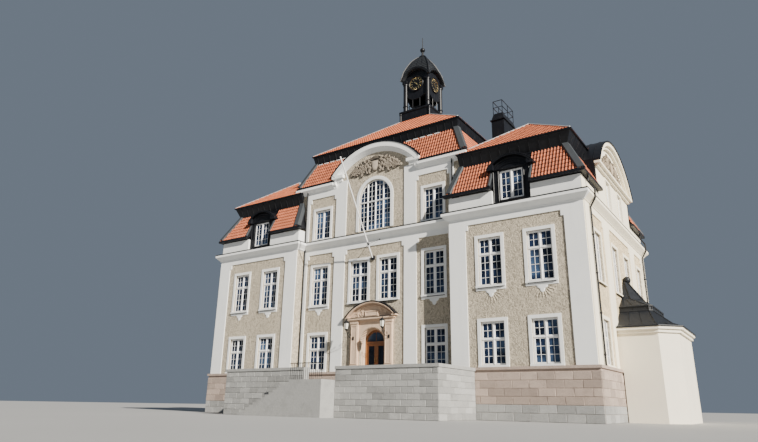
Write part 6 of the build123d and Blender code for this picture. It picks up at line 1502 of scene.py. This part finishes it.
class TOWNHALL_OT_stage(bpy.types.Operator):
    """Set the floor, the light and the camera."""

    bl_idname = "townhall.stage"
    bl_label = "Stage"

    def execute(self, context):
        scene = context.scene
        u = np.linspace(-FLOOR_HALF, FLOOR_HALF, 3)
        x, y = np.meshgrid(u, u)
        points = np.stack([x, y, np.full_like(x, -0.001)], axis=-1).reshape(-1, 3)
        data = bpy.data.meshes.new("floor")
        data.from_pydata(points.tolist(), [], grid_quads(3, 3).tolist())
        ground = Finish("pale_floor")
        cloud = ground.noise(0.08, 3.0)
        data.materials.append(ground.done(
            Base_Color=ground.mix(cloud, (0.33, 0.33, 0.327, 1), (0.37, 0.37, 0.366, 1)), Roughness=0.8))
        floor = bpy.data.objects.new("floor", data)
        scene.collection.objects.link(floor)

        world = bpy.data.worlds.new("studio")
        scene.world = world
        world.use_nodes = True
        background = world.node_tree.nodes["Background"]
        background.inputs["Color"].default_value = SKY_COLOUR
        background.inputs["Strength"].default_value = SKY_STRENGTH

        sun = bpy.data.lights.new("key", "SUN")
        sun.energy = SUN_STRENGTH
        sun.angle = SUN_SPREAD
        sun.color = SUN_COLOUR
        lamp = bpy.data.objects.new("key", sun)
        lamp.rotation_euler = SUN_FROM.to_track_quat("Z", "Y").to_euler()
        scene.collection.objects.link(lamp)

        self.camera(scene)
        return {"FINISHED"}

    def camera(self, scene):
        """A camera at the photograph's place: forward from yaw and pitch, then rolled about it."""
        cos_p, sin_p = np.cos(CAMERA_PITCH), np.sin(CAMERA_PITCH)
        forward = Vector((np.sin(CAMERA_YAW) * cos_p, np.cos(CAMERA_YAW) * cos_p, sin_p))
        right = Vector((np.cos(CAMERA_YAW), -np.sin(CAMERA_YAW), 0))
        up = right.cross(forward)
        rolled_right = np.cos(CAMERA_ROLL) * right + np.sin(CAMERA_ROLL) * up
        rolled_up = np.cos(CAMERA_ROLL) * up - np.sin(CAMERA_ROLL) * right
        data = bpy.data.cameras.new("camera")
        data.lens = CAMERA_LENS
        data.sensor_width = 36
        data.clip_end = 1000
        camera = bpy.data.objects.new("camera", data)
        turn = Matrix((rolled_right, rolled_up, -forward)).transposed().to_4x4()
        camera.matrix_world = Matrix.Translation(CAMERA_PLACE) @ turn
        scene.collection.objects.link(camera)
        scene.camera = camera


class TOWNHALL_PT_panel(bpy.types.Panel):
    """Lists the town hall's operators and sizes."""

    bl_idname = "TOWNHALL_PT_panel"
    bl_label = "Town hall"
    bl_space_type = "VIEW_3D"
    bl_region_type = "UI"
    bl_category = "Town hall"

    def draw(self, context):
        for operator in OPERATORS:
            self.layout.operator(operator.bl_idname)
        for group in GROUPS:
            holder = getattr(context.scene, group)
            for name in holder.__annotations__:
                self.layout.prop(holder, name)


OPERATORS = (
    TOWNHALL_OT_stage,
    TOWNHALL_OT_finishes,
    TOWNHALL_OT_tiles,
    TOWNHALL_OT_metal,
    TOWNHALL_OT_windows,
    TOWNHALL_OT_stones,
    TOWNHALL_OT_reliefs,
    TOWNHALL_OT_clock,
    TOWNHALL_OT_trim,
    TOWNHALL_OT_entrance,
)
GROUPS = {
    "townhall_roof": RoofSizes,
    "townhall_windows": WindowSizes,
    "townhall_stones": StoneSizes,
    "townhall_colours": FinishColours,
}


def register():
    """Registers the classes and hangs the sizes on the scene."""
    for item in (*GROUPS.values(), *OPERATORS, TOWNHALL_PT_panel):
        bpy.utils.register_class(item)
    for name, group in GROUPS.items():
        setattr(bpy.types.Scene, name, PointerProperty(type=group))


def unregister():
    """Takes the sizes and the classes away again."""
    for name in GROUPS:
        delattr(bpy.types.Scene, name)
    for item in reversed((*GROUPS.values(), *OPERATORS, TOWNHALL_PT_panel)):
        bpy.utils.unregister_class(item)


def main():
    """Makes every piece in order."""
    register()
    for operator in OPERATORS:
        group, name = operator.bl_idname.split(".")
        getattr(getattr(bpy.ops, group), name)()
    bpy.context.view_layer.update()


if __name__ == "__main__":
    main()
